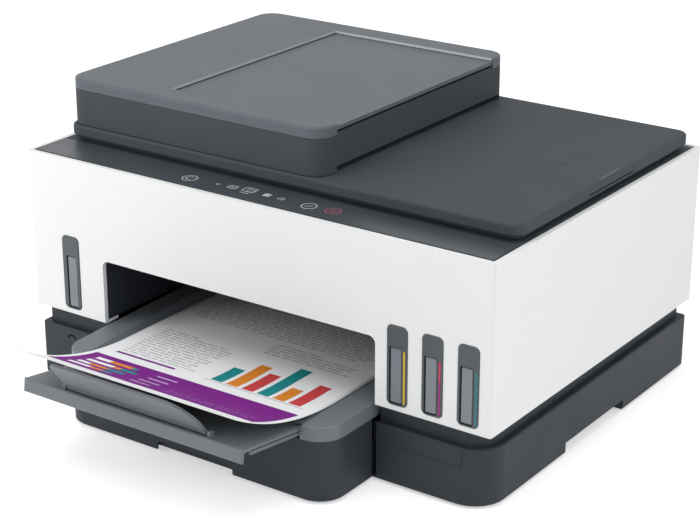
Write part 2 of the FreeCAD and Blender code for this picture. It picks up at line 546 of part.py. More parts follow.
def make_output_cover():
    """Tray cover that catches the prints: two sloping wings joined by a thin bed."""
    body = new_body("output_cover")
    channel_left = f"{TRAY_LEFT} + wing_width"
    channel_width = "tray_width - 2 * wing_width"
    length = "wing_back + tray_reach"
    bed_bottom = "bed_top - bed_thick"
    prism(body, "wedge", "YZ", (TRAY_LEFT, "-tray_reach", "tray_top"),
          [("0", "0"), (length, "0"), (length, "wing_back_top - tray_top"),
           ("0", "wing_front_top - tray_top")], "tray_width")
    finish_edges(body, "wing_corners", "Fillet", "tray_corner",
                 lambda edge: upright(edge) and lies_on(edge, Y="-tray_reach"))
    finish_edges(body, "wing_rims", "Fillet", "wing_round",
                 lambda edge: edge.BoundBox.ZMin > size("wing_front_top") - NEAR
                 and not lies_on(edge, Y="wing_back"))
    rise = "wing_back_top - bed_top + overcut"
    prism(body, "channel", "XZ", (f"{channel_left} - wing_flare", "-tray_reach - overcut", "bed_top"),
          [("wing_flare", "0"), (f"wing_flare + {channel_width}", "0"),
           (f"2 * wing_flare + {channel_width}", rise), ("0", rise)], f"{length} + 2 * overcut", cut=True)
    block(body, "slide_bay", "XY", (channel_left, "-tray_reach - overcut", "tray_top - overcut"),
          channel_width, f"{length} + 2 * overcut", f"{bed_bottom} - tray_top + overcut", cut=True)
    block(body, "bed_front", "XY", (channel_left, "-tray_reach - overcut", f"{bed_bottom} - overcut"),
          channel_width, "bed_setback + overcut", "bed_thick + 2 * overcut", cut=True)
    block(body, "bed_tail", "XY", (channel_left, "wing_back - overcut", bed_bottom),
          channel_width, "bed_back - wing_back + overcut", "bed_thick")
    return body


def make_extension():
    """Pull-out plate that tips up towards its lip, with side rails and ears for the stop."""
    body = new_body("extension", "-slide_reach", "slide_height", "-slide_tilt")
    block(body, "plate", "XY", (SLIDE_LEFT, "-slide_out + lip_thick / 2", "-slide_thick"),
          SLIDE_WIDTH, "slide_out + slide_inside - lip_thick / 2", "slide_thick")
    block(body, "lip", "XY", (SLIDE_LEFT, "-slide_out", "lip_rise - lip_height"),
          SLIDE_WIDTH, "lip_thick", "lip_height")
    finish_edges(body, "lip_edges", "Chamfer", "lip_break", lambda edge: lies_on(edge, Y="-slide_out"))
    for rail_left in (SLIDE_LEFT, f"{SLIDE_LEFT} + {SLIDE_WIDTH} - rail_width"):
        block(body, "side_rail", "XY",
              (rail_left, "-slide_out + 4 * lip_thick", "-slide_thick - rail_depth"),
              "rail_width", "slide_out + slide_inside - 4 * lip_thick", "rail_depth + slide_thick / 2")
    ear = "(stop_barrel + ear_rim)"
    for ear_left in (f"{STOP_LEFT} - pin_seat - side_gap", f"{STOP_LEFT} + stop_width + side_gap"):
        block(body, "stop_ear", "XY", (ear_left, f"-{STOP_ARM} - {ear}", "-slide_thick / 2"),
              "pin_seat", f"2 * {ear}", f"slide_thick / 2 + stop_lift + {ear}")
    rod(body, "stop_bore", "YZ", (f"{STOP_LEFT} - pin_seat - 2 * side_gap", f"-{STOP_ARM}", "stop_lift"),
        "stop_pin + run_gap", "stop_width + 2 * pin_seat + 4 * side_gap", cut=True)
    return body


def make_paper_stop():
    """Flip-up flap at the extension's lip, raised and leaning outwards, on two stub pins."""
    body = new_body("paper_stop", STOP_Y, STOP_Z, "stop_lean")
    block(body, "flap", "XZ", (STOP_LEFT, "-stop_thick / 2", "0"), "stop_width", "stop_length", "stop_thick")
    for side, text, radius in (("left", STOP_LEFT, "stop_corner / 2"),
                               ("right", f"{STOP_LEFT} + stop_width", "stop_corner * 1.5")):
        finish_edges(body, f"flap_corner_{side}", "Fillet", radius,
                     lambda edge, at=text: lies_on(edge, X=at, Z="stop_length"))
    rod(body, "barrel", "YZ", (STOP_LEFT, "0", "0"), "stop_barrel", "stop_width")
    rod(body, "pins", "YZ", (f"{STOP_LEFT} - pin_seat - side_gap", "0", "0"), "stop_pin",
        "stop_width + 2 * pin_seat + 2 * side_gap")
    return body


def make_printed_sheet():
    """A4 sheet that has come out: flat over the bed, then curling up past the stop."""
    body = new_body("printed_sheet")
    sketch = sketch_on(body, "sheet", "YZ", (PAGE_LEFT, "0", PAGE_BOTTOM))
    start, radius, thick = size("page_curl_start"), size("page_curl_radius"), size("page_thick")
    sweep = math.radians(size("page_curl_angle"))
    flat = "page_length - page_curl_radius * page_curl_angle * pi / 180"
    centre = FreeCAD.Vector(-start, radius, 0)
    outer = Part.Circle(centre, FreeCAD.Vector(0, 0, 1), radius)
    inner = Part.Circle(centre, FreeCAD.Vector(0, 0, 1), radius - thick)
    low = -math.pi / 2

    def on_arc(circle_radius, angle):
        return centre + FreeCAD.Vector(math.cos(angle), math.sin(angle), 0) * circle_radius

    trail = size(flat) - start
    bottom = [FreeCAD.Vector(trail, 0, 0), FreeCAD.Vector(-start, 0, 0)]
    top = [FreeCAD.Vector(-start, thick, 0), FreeCAD.Vector(trail, thick, 0)]
    tip = [on_arc(radius, low - sweep), on_arc(radius - thick, low - sweep)]
    sketch.addGeometry(Part.LineSegment(*bottom))
    sketch.addGeometry(Part.ArcOfCircle(outer, low - sweep, low))
    sketch.addGeometry(Part.LineSegment(*tip))
    sketch.addGeometry(Part.ArcOfCircle(inner, low - sweep, low))
    sketch.addGeometry(Part.LineSegment(*top))
    sketch.addGeometry(Part.LineSegment(top[1], bottom[0]))
    for kind, *where in (("Tangent", 0, 2, 1, 2), ("Coincident", 1, 1, 2, 1), ("Coincident", 2, 2, 3, 1),
                         ("Tangent", 3, 2, 4, 1), ("Coincident", 4, 2, 5, 1), ("Coincident", 5, 2, 0, 1),
                         ("Coincident", 1, 3, 3, 3), ("Horizontal", 0), ("Horizontal", 4),
                         ("Vertical", 5), ("PointOnObject", 1, 3, 2)):
        sketch.addConstraint(Sketcher.Constraint(kind, *where))
    hold(sketch, "Radius", 1, "page_curl_radius")
    hold(sketch, "Radius", 3, "page_curl_radius - page_thick")
    hold(sketch, "DistanceX", -1, 1, 0, 2, "-page_curl_start")
    hold(sketch, "DistanceY", -1, 1, 0, 2, "0")
    hold(sketch, "DistanceX", 0, 2, 0, 1, flat)
    hold(sketch, "DistanceX", -1, 1, 1, 1,
         "-page_curl_start - page_curl_radius * sin(page_curl_angle * 1deg)")
    extrude(body, "sheet", sketch, "YZ", "page_width", False)
    return body


def window_left(centre, mirrored):
    """Give the left edge of an ink window; the black one is mirrored in its bezel."""
    side = "bezel_width - window_side - window_width" if mirrored else "window_side"
    return f"{centre} - bezel_width / 2 + {side}"


def make_bezel(ink):
    """Dark rounded frame round an ink window, standing a little proud of the shell."""
    centre, _, mirrored = INKS[ink]
    body = new_body(f"bezel_{ink}")
    left = f"{centre} - bezel_width / 2"
    block(body, "frame", "XZ", (left, "-bezel_proud", "bezel_bottom"),
          "bezel_width", "bezel_height", "bezel_depth", "bezel_corner")
    finish_edges(body, "frame_edge", "Chamfer", "bezel_break",
                 lambda edge: lies_on(edge, Y="-bezel_proud"))
    block(body, "window", "XZ",
          (f"{window_left(centre, mirrored)} - window_gap", "-bezel_proud - overcut",
           "bezel_bottom + window_rise - window_gap"),
          "window_width + 2 * window_gap", "window_height + 2 * window_gap", "bezel_depth + 2 * overcut",
          "window_corner", cut=True)
    return body


def make_ink_tank(ink):
    """Ink tank whose clear nose shows in the window, with a filling neck and two cap ears."""
    centre, width, mirrored = INKS[ink]
    body = new_body(f"ink_tank_{ink}")
    nose_y = "-bezel_proud + window_setback"
    block(body, "tank", "XY", (f"{centre} - ({width}) / 2", "tank_front", LEDGE_TOP),
          width, "tank_back - tank_front", f"tank_top - ({LEDGE_TOP})", "bezel_corner")
    block(body, "nose", "XZ", (window_left(centre, mirrored), nose_y, "bezel_bottom + window_rise"),
          "window_width", "window_height", f"tank_front - ({nose_y}) + overcut", "window_gap")
    finish_edges(body, "nose_edge", "Chamfer", "nose_break", lambda edge: lies_on(edge, Y=nose_y))
    rod(body, "neck", "XY", (centre, "neck_at", "tank_top - overcut"), "neck_radius",
    "neck_height + overcut")
    ear = "(cap_thick / 2 + ear_rim)"
    for ear_left in (f"{centre} - cap_tongue / 2 - pin_seat - cap_gap",
                     f"{centre} + cap_tongue / 2 + cap_gap"):
        block(body, "cap_ear", "XY", (ear_left, f"cap_hinge - {ear}", "tank_top - overcut"),
              "pin_seat", f"2 * {ear}", f"{CAP_Z} - tank_top + overcut + {ear}")
    rod(body, "cap_bore", "YZ", (f"{centre} - cap_tongue / 2 - pin_seat - overcut", "cap_hinge", CAP_Z),
        "cap_pin + run_gap", "cap_tongue + 2 * pin_seat + 2 * overcut", cut=True)
    return body


def make_tank_cap(ink):
    """Flip-up cap over a tank's filling neck, on a barrel with two stub pins."""
    centre, _, _ = INKS[ink]
    body = new_body(f"tank_cap_{ink}")
    low = f"{CAP_Z} - cap_thick / 2"
    tongue_y = "cap_hinge - cap_thick / 2 - cap_step"
    block(body, "cap", "XY", (f"{centre} - cap_width / 2", "cap_front", low),
          "cap_width", f"{tongue_y} - cap_front", "cap_thick", "cap_thick")
    block(body, "tongue", "XY", (f"{centre} - cap_tongue / 2", f"{tongue_y} - cap_thick", low),
          "cap_tongue", f"cap_hinge - ({tongue_y}) + cap_thick", "cap_thick")
    rod(body, "barrel", "YZ", (f"{centre} - cap_tongue / 2", "cap_hinge", CAP_Z), "cap_thick / 2",
        "cap_tongue")
    rod(body, "pins", "YZ", (f"{centre} - cap_tongue / 2 - pin_seat", "cap_hinge", CAP_Z),
        "cap_pin", "cap_tongue + 2 * pin_seat")
    return body


PAGE_TOP = f"{PAGE_BOTTOM} + page_thick"
IDLER_Y = "feed_y - gear_module * (feed_teeth + idler_teeth) / 2"
EJECT_Y = "feed_y - gear_module * (feed_teeth + idler_teeth)"
PICK_REACH = "gear_module * (feed_teeth + pick_teeth) / 2"
PICK_Y = f"feed_y + sqrt(({PICK_REACH}) ^ 2 - pick_drop ^ 2)"
PICK_Z = f"{ROLLER_Z} - pick_drop"
PINCH_Z = f"{PAGE_TOP} + page_gap + pinch_radius"
GEAR_LEFT = "-frame_half + gear_side_gap"
AXLE_LEFT = "-frame_half - frame_wall"
AXLE_LENGTH = "2 * (frame_half + frame_wall)"
SHELF_TOP = "belt_z - shelf_thick"
BELT_INNER = "(pulley_radius + belt_gap)"


def draw_gear(sketch, teeth, phase):
    """Draw a spur gear about the sketch's origin: straight flanks through the pitch circle.

    A tooth's half angle at radius r is its half thickness there over r, with the thickness
    falling by twice the tangent of the pressure angle per millimetre of height.
    """
    module = size("gear_module")
    pitch = teeth * module / 2
    slope = math.tan(math.radians(size("pressure_angle")))
    half = module * math.pi / 4 * size("tooth_share")
    heights = (-size("tooth_root") * module, size("tooth_tip") * module)
    root, tip = [(pitch + rise, (half - rise * slope) / (pitch + rise)) for rise in heights]
    corners = []
    for tooth in range(teeth):
        middle = phase + 2 * math.pi * tooth / teeth
        for radius, angle in ((root[0], -root[1]), (tip[0], -tip[1]), (tip[0], tip[1]), (root[0], root[1])):
            corners.append(FreeCAD.Vector(radius * math.cos(middle + angle),
                                          radius * math.sin(middle + angle), 0))
    for index, corner in enumerate(corners):
        sketch.addGeometry(Part.LineSegment(corner, corners[(index + 1) % len(corners)]))


def mesh_phase(bearing, phase, teeth, next_teeth):
    """Turn the next gear so that a gap of it meets a tooth, at the bearing from gear to gear."""
    shift = (bearing - phase) * teeth / (2 * math.pi) + 0.5
    return bearing + math.pi + shift * 2 * math.pi / next_teeth


def add_gear(body, y, z, teeth, phase):
    """Pad a gear on the left end of a roller."""
    sketch = sketch_on(body, "gear", "YZ", (GEAR_LEFT, y, z))
    draw_gear(sketch, teeth, phase)
    extrude(body, "gear", sketch, "YZ", "gear_width", False)


def make_roller(label, y, z, sleeve, gear=None):
    """Roller on a through axle: sleeve gives left edge, width and radius, gear teeth and phase."""
    body = new_body(label)
    left, width, radius = sleeve
    rod(body, "axle", "YZ", (AXLE_LEFT, y, z), "axle_radius", AXLE_LENGTH)
    rod(body, "sleeve", "YZ", (left, y, z), radius, width)
    if gear is not None:
        add_gear(body, y, z, *gear)
    return body


def make_paper_drive():
    """Feed, eject and pick rollers with their gear train, and the pinch roller above."""
    feed_teeth, idler_teeth = int(size("feed_teeth")), int(size("idler_teeth"))
    pick_teeth = int(size("pick_teeth"))
    idler_phase = mesh_phase(math.pi, 0, feed_teeth, idler_teeth)
    eject_phase = mesh_phase(math.pi, idler_phase, idler_teeth, feed_teeth)
    pick_bearing = -math.asin(size("pick_drop") / size(PICK_REACH))
    pick_phase = mesh_phase(pick_bearing, 0, feed_teeth, pick_teeth)
    page = (PAGE_LEFT, "page_width", "roller_radius")
    feed = make_roller("feed_roller", "feed_y", ROLLER_Z, page, (feed_teeth, 0))
    eject = make_roller("eject_roller", EJECT_Y, ROLLER_Z, page, (feed_teeth, eject_phase))
    pick = make_roller("pick_roller", PICK_Y, PICK_Z, ("tray_centre - pick_width / 2", "pick_width",
                                                       "pick_radius"),
                       (pick_teeth, pick_phase))
    idler = new_body("idler_gear")
    add_gear(idler, IDLER_Y, ROLLER_Z, idler_teeth, idler_phase)
    rod(idler, "bore", "YZ", (f"{GEAR_LEFT} - overcut", IDLER_Y, ROLLER_Z), "axle_radius + run_gap",
        "gear_width + 2 * overcut", cut=True)
    pinch = new_body("pinch_roller")
    rod(pinch, "axle", "YZ", (AXLE_LEFT, "feed_y", PINCH_Z), "pinch_axle", AXLE_LENGTH)
    rod(pinch, "sleeve", "YZ", (PAGE_LEFT, "feed_y", PINCH_Z), "pinch_radius", "page_width")
    return [feed, eject, pick, idler, pinch]


def make_print_frame():
    """Bent steel frame: two side plates and a back plate that carry rail, rollers and drive."""
    body = new_body("print_frame")
    plate_height = "frame_high - frame_low"
    for left in (AXLE_LEFT, "frame_half"):
        block(body, "side_plate", "YZ", (left, "frame_front", "frame_low"),
              "frame_back - frame_front", plate_height, "frame_wall")
    block(body, "back_plate", "XZ", (AXLE_LEFT, "frame_back - frame_wall", LEDGE_TOP),
          AXLE_LENGTH, f"frame_high - ({LEDGE_TOP})", "frame_wall")
    for left in (f"{AXLE_LEFT} - frame_tab", "frame_half + frame_wall / 2"):
        block(body, "tab", "XY", (left, "frame_front + frame_tab", LEDGE_TOP),
              "frame_tab + frame_wall / 2", "frame_back - frame_front - 2 * frame_tab", "tab_thick")
    for left in ("-frame_half - frame_wall / 2", "frame_half - shelf_width"):
        block(body, "shelf", "XY", (left, "belt_y - 2 * pulley_radius", f"{SHELF_TOP} - shelf_thick"),
              "shelf_width + frame_wall / 2", "frame_back - belt_y + 2 * pulley_radius", "shelf_thick")
    rod(body, "motor_hole", "XY", ("-belt_half", "belt_y", f"{SHELF_TOP} - shelf_thick - overcut"),
        "2 * shaft_radius", "shelf_thick + 2 * overcut", cut=True)
    rod(body, "idler_post", "XY", ("belt_half", "belt_y", f"{SHELF_TOP} - shelf_thick / 2"),
        "shaft_radius", "belt_width + 2 * shelf_thick + shelf_thick / 2")
    for y, z, radius in (("feed_y", ROLLER_Z, "axle_radius"), (EJECT_Y, ROLLER_Z, "axle_radius"),
                         (PICK_Y, PICK_Z, "axle_radius"), ("feed_y", PINCH_Z, "pinch_axle")):
        rod(body, "axle_bores", "YZ", (AXLE_LEFT, y, z), f"{radius} + run_gap", AXLE_LENGTH, cut=True)
    rod(body, "idler_stub", "YZ", ("-frame_half - frame_wall / 2", IDLER_Y, ROLLER_Z), "axle_radius",
        "frame_wall / 2 + gear_side_gap + gear_width + overcut")
    return body


def make_print_bed():
    """Platen under the print heads, carried by the right side plate, with a drip channel."""
    body = new_body("print_bed")
    left = f"{GEAR_LEFT} + gear_width + gear_side_gap"
    front = f"{EJECT_Y} + roller_radius + side_gap"
    depth = f"feed_y - ({EJECT_Y}) - 2 * roller_radius - 2 * side_gap"
    block(body, "platen", "XY", (left, front, "bed_top - 3 * frame_wall"),
          f"frame_half - ({left})", depth, "3 * frame_wall")
    block(body, "drip_channel", "XY", (PAGE_LEFT, f"{front} + frame_wall", "bed_top - frame_wall"),
          "page_width", f"{depth} - 2 * frame_wall", "frame_wall + overcut", cut=True)
    return body


def make_carriage_set():
    """Carriage on its round rail, the print heads under it, and the belt with two pulleys."""
    rail = new_body("carriage_rail")
    rod(rail, "rail", "YZ", ("-frame_half", "rail_y", "rail_z"), "rail_radius", "2 * frame_half")
    carriage = new_body("carriage")
    left = "carriage_park - carriage_width / 2"
    block(carriage, "box", "XY", (left, "carriage_front", "carriage_bottom"), "carriage_width",
          "carriage_back - carriage_front", "carriage_top - carriage_bottom", "rail_radius")
    clip_left = "carriage_park - rail_radius"
    block(carriage, "clip_post", "XY",
          (clip_left, "carriage_back - 2 * rail_radius", "carriage_top - overcut"),
          "2 * rail_radius", "2 * rail_radius", "belt_z + belt_width - carriage_top + overcut")
    block(carriage, "belt_clip", "XY", (clip_left, "carriage_back - rail_radius", "belt_z"),
          "2 * rail_radius",
          f"belt_y - {BELT_INNER} - belt_thick - belt_gap - carriage_back + rail_radius", "belt_width")
    rod(carriage, "rail_bore", "YZ", (f"{left} - overcut", "rail_y", "rail_z"), "rail_radius + run_gap",
        "carriage_width + 2 * overcut", cut=True)
    heads = new_body("print_heads")
    low = f"{PAGE_TOP} + head_gap"
    block(heads, "heads", "XY", (f"{left} + rail_radius", "head_front", low),
          "carriage_width - 2 * rail_radius",
          "head_length", f"carriage_bottom - ({low})")
    belt = new_body("drive_belt")
    for cut, radius in ((False, f"{BELT_INNER} + belt_thick"), (True, BELT_INNER)):
        block(belt, "belt_run", "XY", ("-belt_half", f"belt_y - ({radius})", "belt_z"), "2 * belt_half",
              f"2 * ({radius})", "belt_width", cut=cut)
        for x in ("-belt_half", "belt_half"):
            rod(belt, "belt_turn", "XY", (x, "belt_y", "belt_z"), radius, "belt_width", cut=cut)
    pulleys = []
    for label, x in (("drive_pulley", "-belt_half"), ("idler_pulley", "belt_half")):
        pulley = new_body(label)
        rod(pulley, "rim", "XY", (x, "belt_y", f"{SHELF_TOP} + belt_gap"), "pulley_radius",
            "belt_width + shelf_thick")
        rod(pulley, "bore", "XY", (x, "belt_y", f"{SHELF_TOP} - overcut"), "shaft_radius + run_gap",
            "belt_width + 3 * shelf_thick", cut=True)
        pulleys.append(pulley)
    motor = new_body("carriage_motor")
    motor_top = f"{SHELF_TOP} - shelf_thick"
    rod(motor, "can", "XY", ("-belt_half", "belt_y", f"{motor_top} - motor_height"), "motor_radius",
        "motor_height")
    rod(motor, "shaft", "XY", ("-belt_half", "belt_y", f"{motor_top} - overcut"), "shaft_radius",
        "belt_width + 3 * shelf_thick + overcut")
    return [rail, carriage, heads, belt, *pulleys, motor]


def make_electronics():
    """Power supply and main board in the lower housing, and the two rear socket blocks."""
    supply = new_body("power_supply")
    block(supply, "case", "XY", ("supply_left", "supply_y", HOUSING_FLOOR), "supply_width", "supply_depth",
          "supply_height", "post_radius")
    board = new_body("main_board")
    board_z = f"{HOUSING_FLOOR} + post_height"
    block(board, "board", "XY", (BOARD_LEFT, "board_y", board_z), "board_width", "board_depth",
          "board_thick")
    for number in range(3):
        block(board, "chip", "XY",
              (f"{BOARD_LEFT} + board_width / 2 - chip_side / 2",
               f"board_y + chip_first + {number} * chip_pitch", board_z),
              "chip_side", "chip_side", "board_thick + post_radius")
    inlet = new_body("mains_inlet")
    inlet_y = "base_back - inlet_depth"
    block(inlet, "case", "XZ", ("inlet_left", inlet_y, "inlet_z"), "inlet_width", "inlet_height",
          "inlet_depth")
    block(inlet, "recess", "XZ", ("inlet_left + socket_wall", f"{inlet_y} + 4 * socket_wall",
                                  "inlet_z + socket_wall"),
          "inlet_width - 2 * socket_wall", "inlet_height - 2 * socket_wall", "inlet_depth",
          "socket_wall", cut=True)
    for side in (-1, 1):
        rod(inlet, "contact", "XZ",
            (f"inlet_left + inlet_width / 2 + {side} * contact_pitch / 2", f"{inlet_y} + 3 * socket_wall",
             "inlet_z + inlet_height / 2"), "socket_wall / 2", "inlet_depth / 2")
    ports = new_body("data_ports")
    port_y = "base_back - port_depth"
    block(ports, "case", "XZ", ("port_left", port_y, "inlet_z"), "port_width", "port_height", "port_depth")
    opening = "port_width / 2 - 1.5 * socket_wall"
    for left in ("port_left + socket_wall", "port_left + port_width / 2 + socket_wall / 2"):
        block(ports, "port", "XZ", (left, f"{port_y} + 4 * socket_wall", "inlet_z + 2 * socket_wall"),
              opening, "port_height - 4 * socket_wall", "port_depth", cut=True)
    return [supply, board, inlet, ports]


def group_of(label, pieces):
    """Gather Part primitives into one sub-part, moved to the printer's frame."""
    group = DOC.addObject("Part::Compound", label)
    group.Label = label
    group.Links = pieces
    group.setExpression("Placement.Base.y", bind(FACE_Y))
    return group


def primitive(kind, name, corner, **sizes):
    """Add a Part primitive whose place and sizes are bound to the sheet."""
    shape = DOC.addObject(kind, name)
    for axis, text in zip("xyz", corner):
        shape.setExpression(f"Placement.Base.{axis}", bind(text))
    for key, text in sizes.items():
        shape.setExpression(key, bind(text))
    return shape


def make_feet():
    """Four round rubber feet under the housing's floor."""
    xs = ("-base_width / 2 + foot_inset_x", "base_width / 2 - foot_inset_x")
    ys = ("base_front + foot_inset_y", "base_back - foot_inset_y")
    feet = [primitive("Part::Cylinder", "foot", (x, y, "0"), Radius="foot_radius", Height="foot_height")
            for x in xs for y in ys]
    return group_of("feet", feet)


def make_frame_screws():
    """Four pan-head screws that hold the print frame's tabs to the shell's ledge."""
    reach = "frame_half + frame_wall + frame_tab / 2"
    ys = ("frame_front + 3 * frame_tab", "frame_back - 3 * frame_tab")
    screws = [primitive("Part::Cylinder", "screw", (f"{side} * ({reach})", y, f"{LEDGE_TOP} + tab_thick"),
                        Radius="screw_radius", Height="screw_height")
              for side in (-1, 1) for y in ys]
    return group_of("frame_screws", screws)


def make_rear_door():
    """Jam-access door in the back wall, on two stub pins at its lower edge."""
    body = new_body("rear_door")
    left = "tray_centre - door_width / 2"
    wall_y = "shell_depth - shell_wall"
    block(body, "panel", "XZ", (left, wall_y, "door_bottom"), "door_width", "door_height", "shell_wall")
    block(body, "finger_hold", "XZ", ("tray_centre - door_height / 2", f"{wall_y} + shell_wall / 2",
                                      "door_bottom + door_grip_rise"),
          "door_height", "door_height / 5", "shell_wall", "shell_wall", cut=True)
    rod(body, "pins", "YZ", (f"{left} - pin_seat", f"{wall_y} + shell_wall / 2",
                             "door_bottom + shell_wall / 2"),
        "door_pin", "door_width + 2 * pin_seat")
    return body


def make_button(label, number):
    """Round push button in the back wall, kept in by a flange behind the wall."""
    body = new_body(label)
    x = f"button_x - {number} * button_pitch"
    flange_y = "shell_depth - shell_wall - button_gap - button_flange"
    rod(body, "cap", "XZ", (x, flange_y, "button_z"), "button_radius", f"shell_depth - ({flange_y})")
    finish_edges(body, "cap_edge", "Chamfer", "button_break",
                 lambda edge: lies_on(edge, Y="shell_depth"))
    rod(body, "flange", "XZ", (x, flange_y, "button_z"), "button_radius + button_lip", "button_flange")
    return body


BAR_TOP = f"{DECK_BOTTOM} - glass_thick - bar_gap"
HINGE_X = "lid_left + cover_hinge"
HINGE_Z = f"{COVER_BOTTOM} + cover_hinge"
FEEDER_WIDTH = "feeder_right - lid_left"
FEEDER_DEPTH = "feeder_back - feeder_front"
CHAMBER_FLOOR = "lid_top + exit_height + feeder_floor"
KNUCKLES = ("feeder_front + knuckle_inset", "feeder_back - knuckle_inset - knuckle_width")
FLAP_AXIS_X = "flap_left + flap_gap + flap_thick / 2 + flap_gap"
FLAP_AXIS_Z = f"{FLAP_TOP} - flap_thick / 2"
NIP_X = "drum_x + drum_radius + nip_radius + nip_gap"


def make_scanner_deck():
    """Flat top of the printer: glass windows, two hinge lugs below and two lid towers above."""
    body = new_body("scanner_deck")
    block(body, "deck", "XY", ("-shell_width / 2 + deck_edge", "deck_edge", DECK_BOTTOM),
          "shell_width - 2 * deck_edge", "deck_back - deck_edge", "deck_thick", "shell_corner")
    window_y = "glass_front + glass_rim"
    window_length = "glass_back - glass_front - 2 * glass_rim"
    for left, width in (("glass_left", "glass_right - glass_left"), ("strip_left", "strip_width")):
        block(body, "window", "XY", (f"{left} + glass_rim", window_y, f"{DECK_BOTTOM} - overcut"),
              f"{width} - 2 * glass_rim", window_length, "deck_thick + 2 * overcut", cut=True)
    for side in (-1, 1):
        add_hinge_lug(body, f"{side} * deck_hinge_x")
        add_lid_tower(body, f"{side} * lid_hinge_x")
    return body


def add_hinge_lug(body, centre):
    """Add a lug that turns on the shell's hinge pin, with clearance for the ears beside it."""
    rear = "deck_hinge_y - hinge_lug"
    ear_room = "(lug_width / 2 + 2 * side_gap + ear_width)"
    for left in (f"{centre} - {ear_room}", f"{centre} + lug_width / 2"):
        block(body, "ear_room", "XY", (left, f"{rear} - side_gap", f"{DECK_BOTTOM} - overcut"),
              f"{ear_room} - lug_width / 2", "deck_back - deck_hinge_y + hinge_lug + 2 * side_gap",
              "deck_thick + 2 * overcut", cut=True)
    left = f"{centre} - lug_width / 2"
    block(body, "lug", "YZ", (left, rear, "deck_hinge_z"), "2 * hinge_lug",
          f"{DECK_BOTTOM} + deck_thick / 2 - deck_hinge_z", "lug_width")
    rod(body, "lug_eye", "YZ", (left, "deck_hinge_y", "deck_hinge_z"), "hinge_lug", "lug_width")
    rod(body, "lug_bore", "YZ", (f"{left} - overcut", "deck_hinge_y", "deck_hinge_z"), "hinge_pin + run_gap",
        "lug_width + 2 * overcut", cut=True)


def add_lid_tower(body, centre):
    """Add a rounded tower on the deck whose pin carries the lid."""
    left = f"{centre} - tower_width / 2"
    base = f"{DECK_TOP} - deck_thick / 2"
    block(body, "tower", "YZ", (left, "lid_hinge_y - tower_round", base), "2 * tower_round",
          f"lid_hinge_z - ({base})", "tower_width")
    rod(body, "tower_top", "YZ", (left, "lid_hinge_y", "lid_hinge_z"), "tower_round", "tower_width")
    rod(body, "tower_pin", "YZ", (f"{left} - pin_reach", "lid_hinge_y", "lid_hinge_z"), "hinge_pin",
        "tower_width + 2 * pin_reach")


def make_scan_parts():
    """Tub under the deck with its two panes, the guide rod, the moving bar and the control strip."""
    tub = new_body("scan_tub")
    block(tub, "tub", "XY", ("-tub_half", "tub_front", "tub_bottom"), "2 * tub_half", "tub_back - tub_front",
          f"{DECK_BOTTOM} - tub_bottom")
    block(tub, "inside", "XY", ("-tub_half + tub_wall", "tub_front + tub_wall", "tub_bottom + tub_wall"),
          "2 * (tub_half - tub_wall)", "tub_back - tub_front - 2 * tub_wall",
          f"{DECK_BOTTOM} - tub_bottom", cut=True)
    pane_length = "glass_back - glass_front"
    panes = [primitive("Part::Box", "pane", (left, "glass_front", f"{DECK_BOTTOM} - glass_thick"),
                       Length=width, Width=pane_length, Height="glass_thick")
             for left, width in (("glass_left", "glass_right - glass_left"), ("strip_left", "strip_width"))]
    guide = new_body("scan_rod")
    rod(guide, "guide", "YZ", ("-tub_half + tub_wall", "scan_rod_y", "scan_rod_z"), "scan_rod_radius",
        "2 * (tub_half - tub_wall)")
    bar = new_body("scan_bar")
    left = "bar_park - bar_width / 2"
    block(bar, "bar", "XY", (left, "bar_front", f"{BAR_TOP} - bar_height"), "bar_width", "bar_length",
          "bar_height")
    bush_low = "scan_rod_z - scan_rod_radius - tub_wall"
    block(bar, "bush", "XY", (left, "scan_rod_y - 2 * scan_rod_radius", bush_low), "bar_width",
          "4 * scan_rod_radius", f"{BAR_TOP} - bar_height / 2 - ({bush_low})")
    rod(bar, "bush_bore", "YZ", (f"{left} - overcut", "scan_rod_y", "scan_rod_z"),
    "scan_rod_radius + run_gap",
        "bar_width + 2 * overcut", cut=True)
    strip = new_body("control_panel")
    block(strip, "strip", "XY", ("-shell_width / 2 + panel_front", "panel_front", DECK_TOP),
          "shell_width - 2 * panel_front", "panel_back - panel_front", "panel_thick", "panel_corner")
    return [tub, group_of("scan_glass", panes), guide, bar, strip]


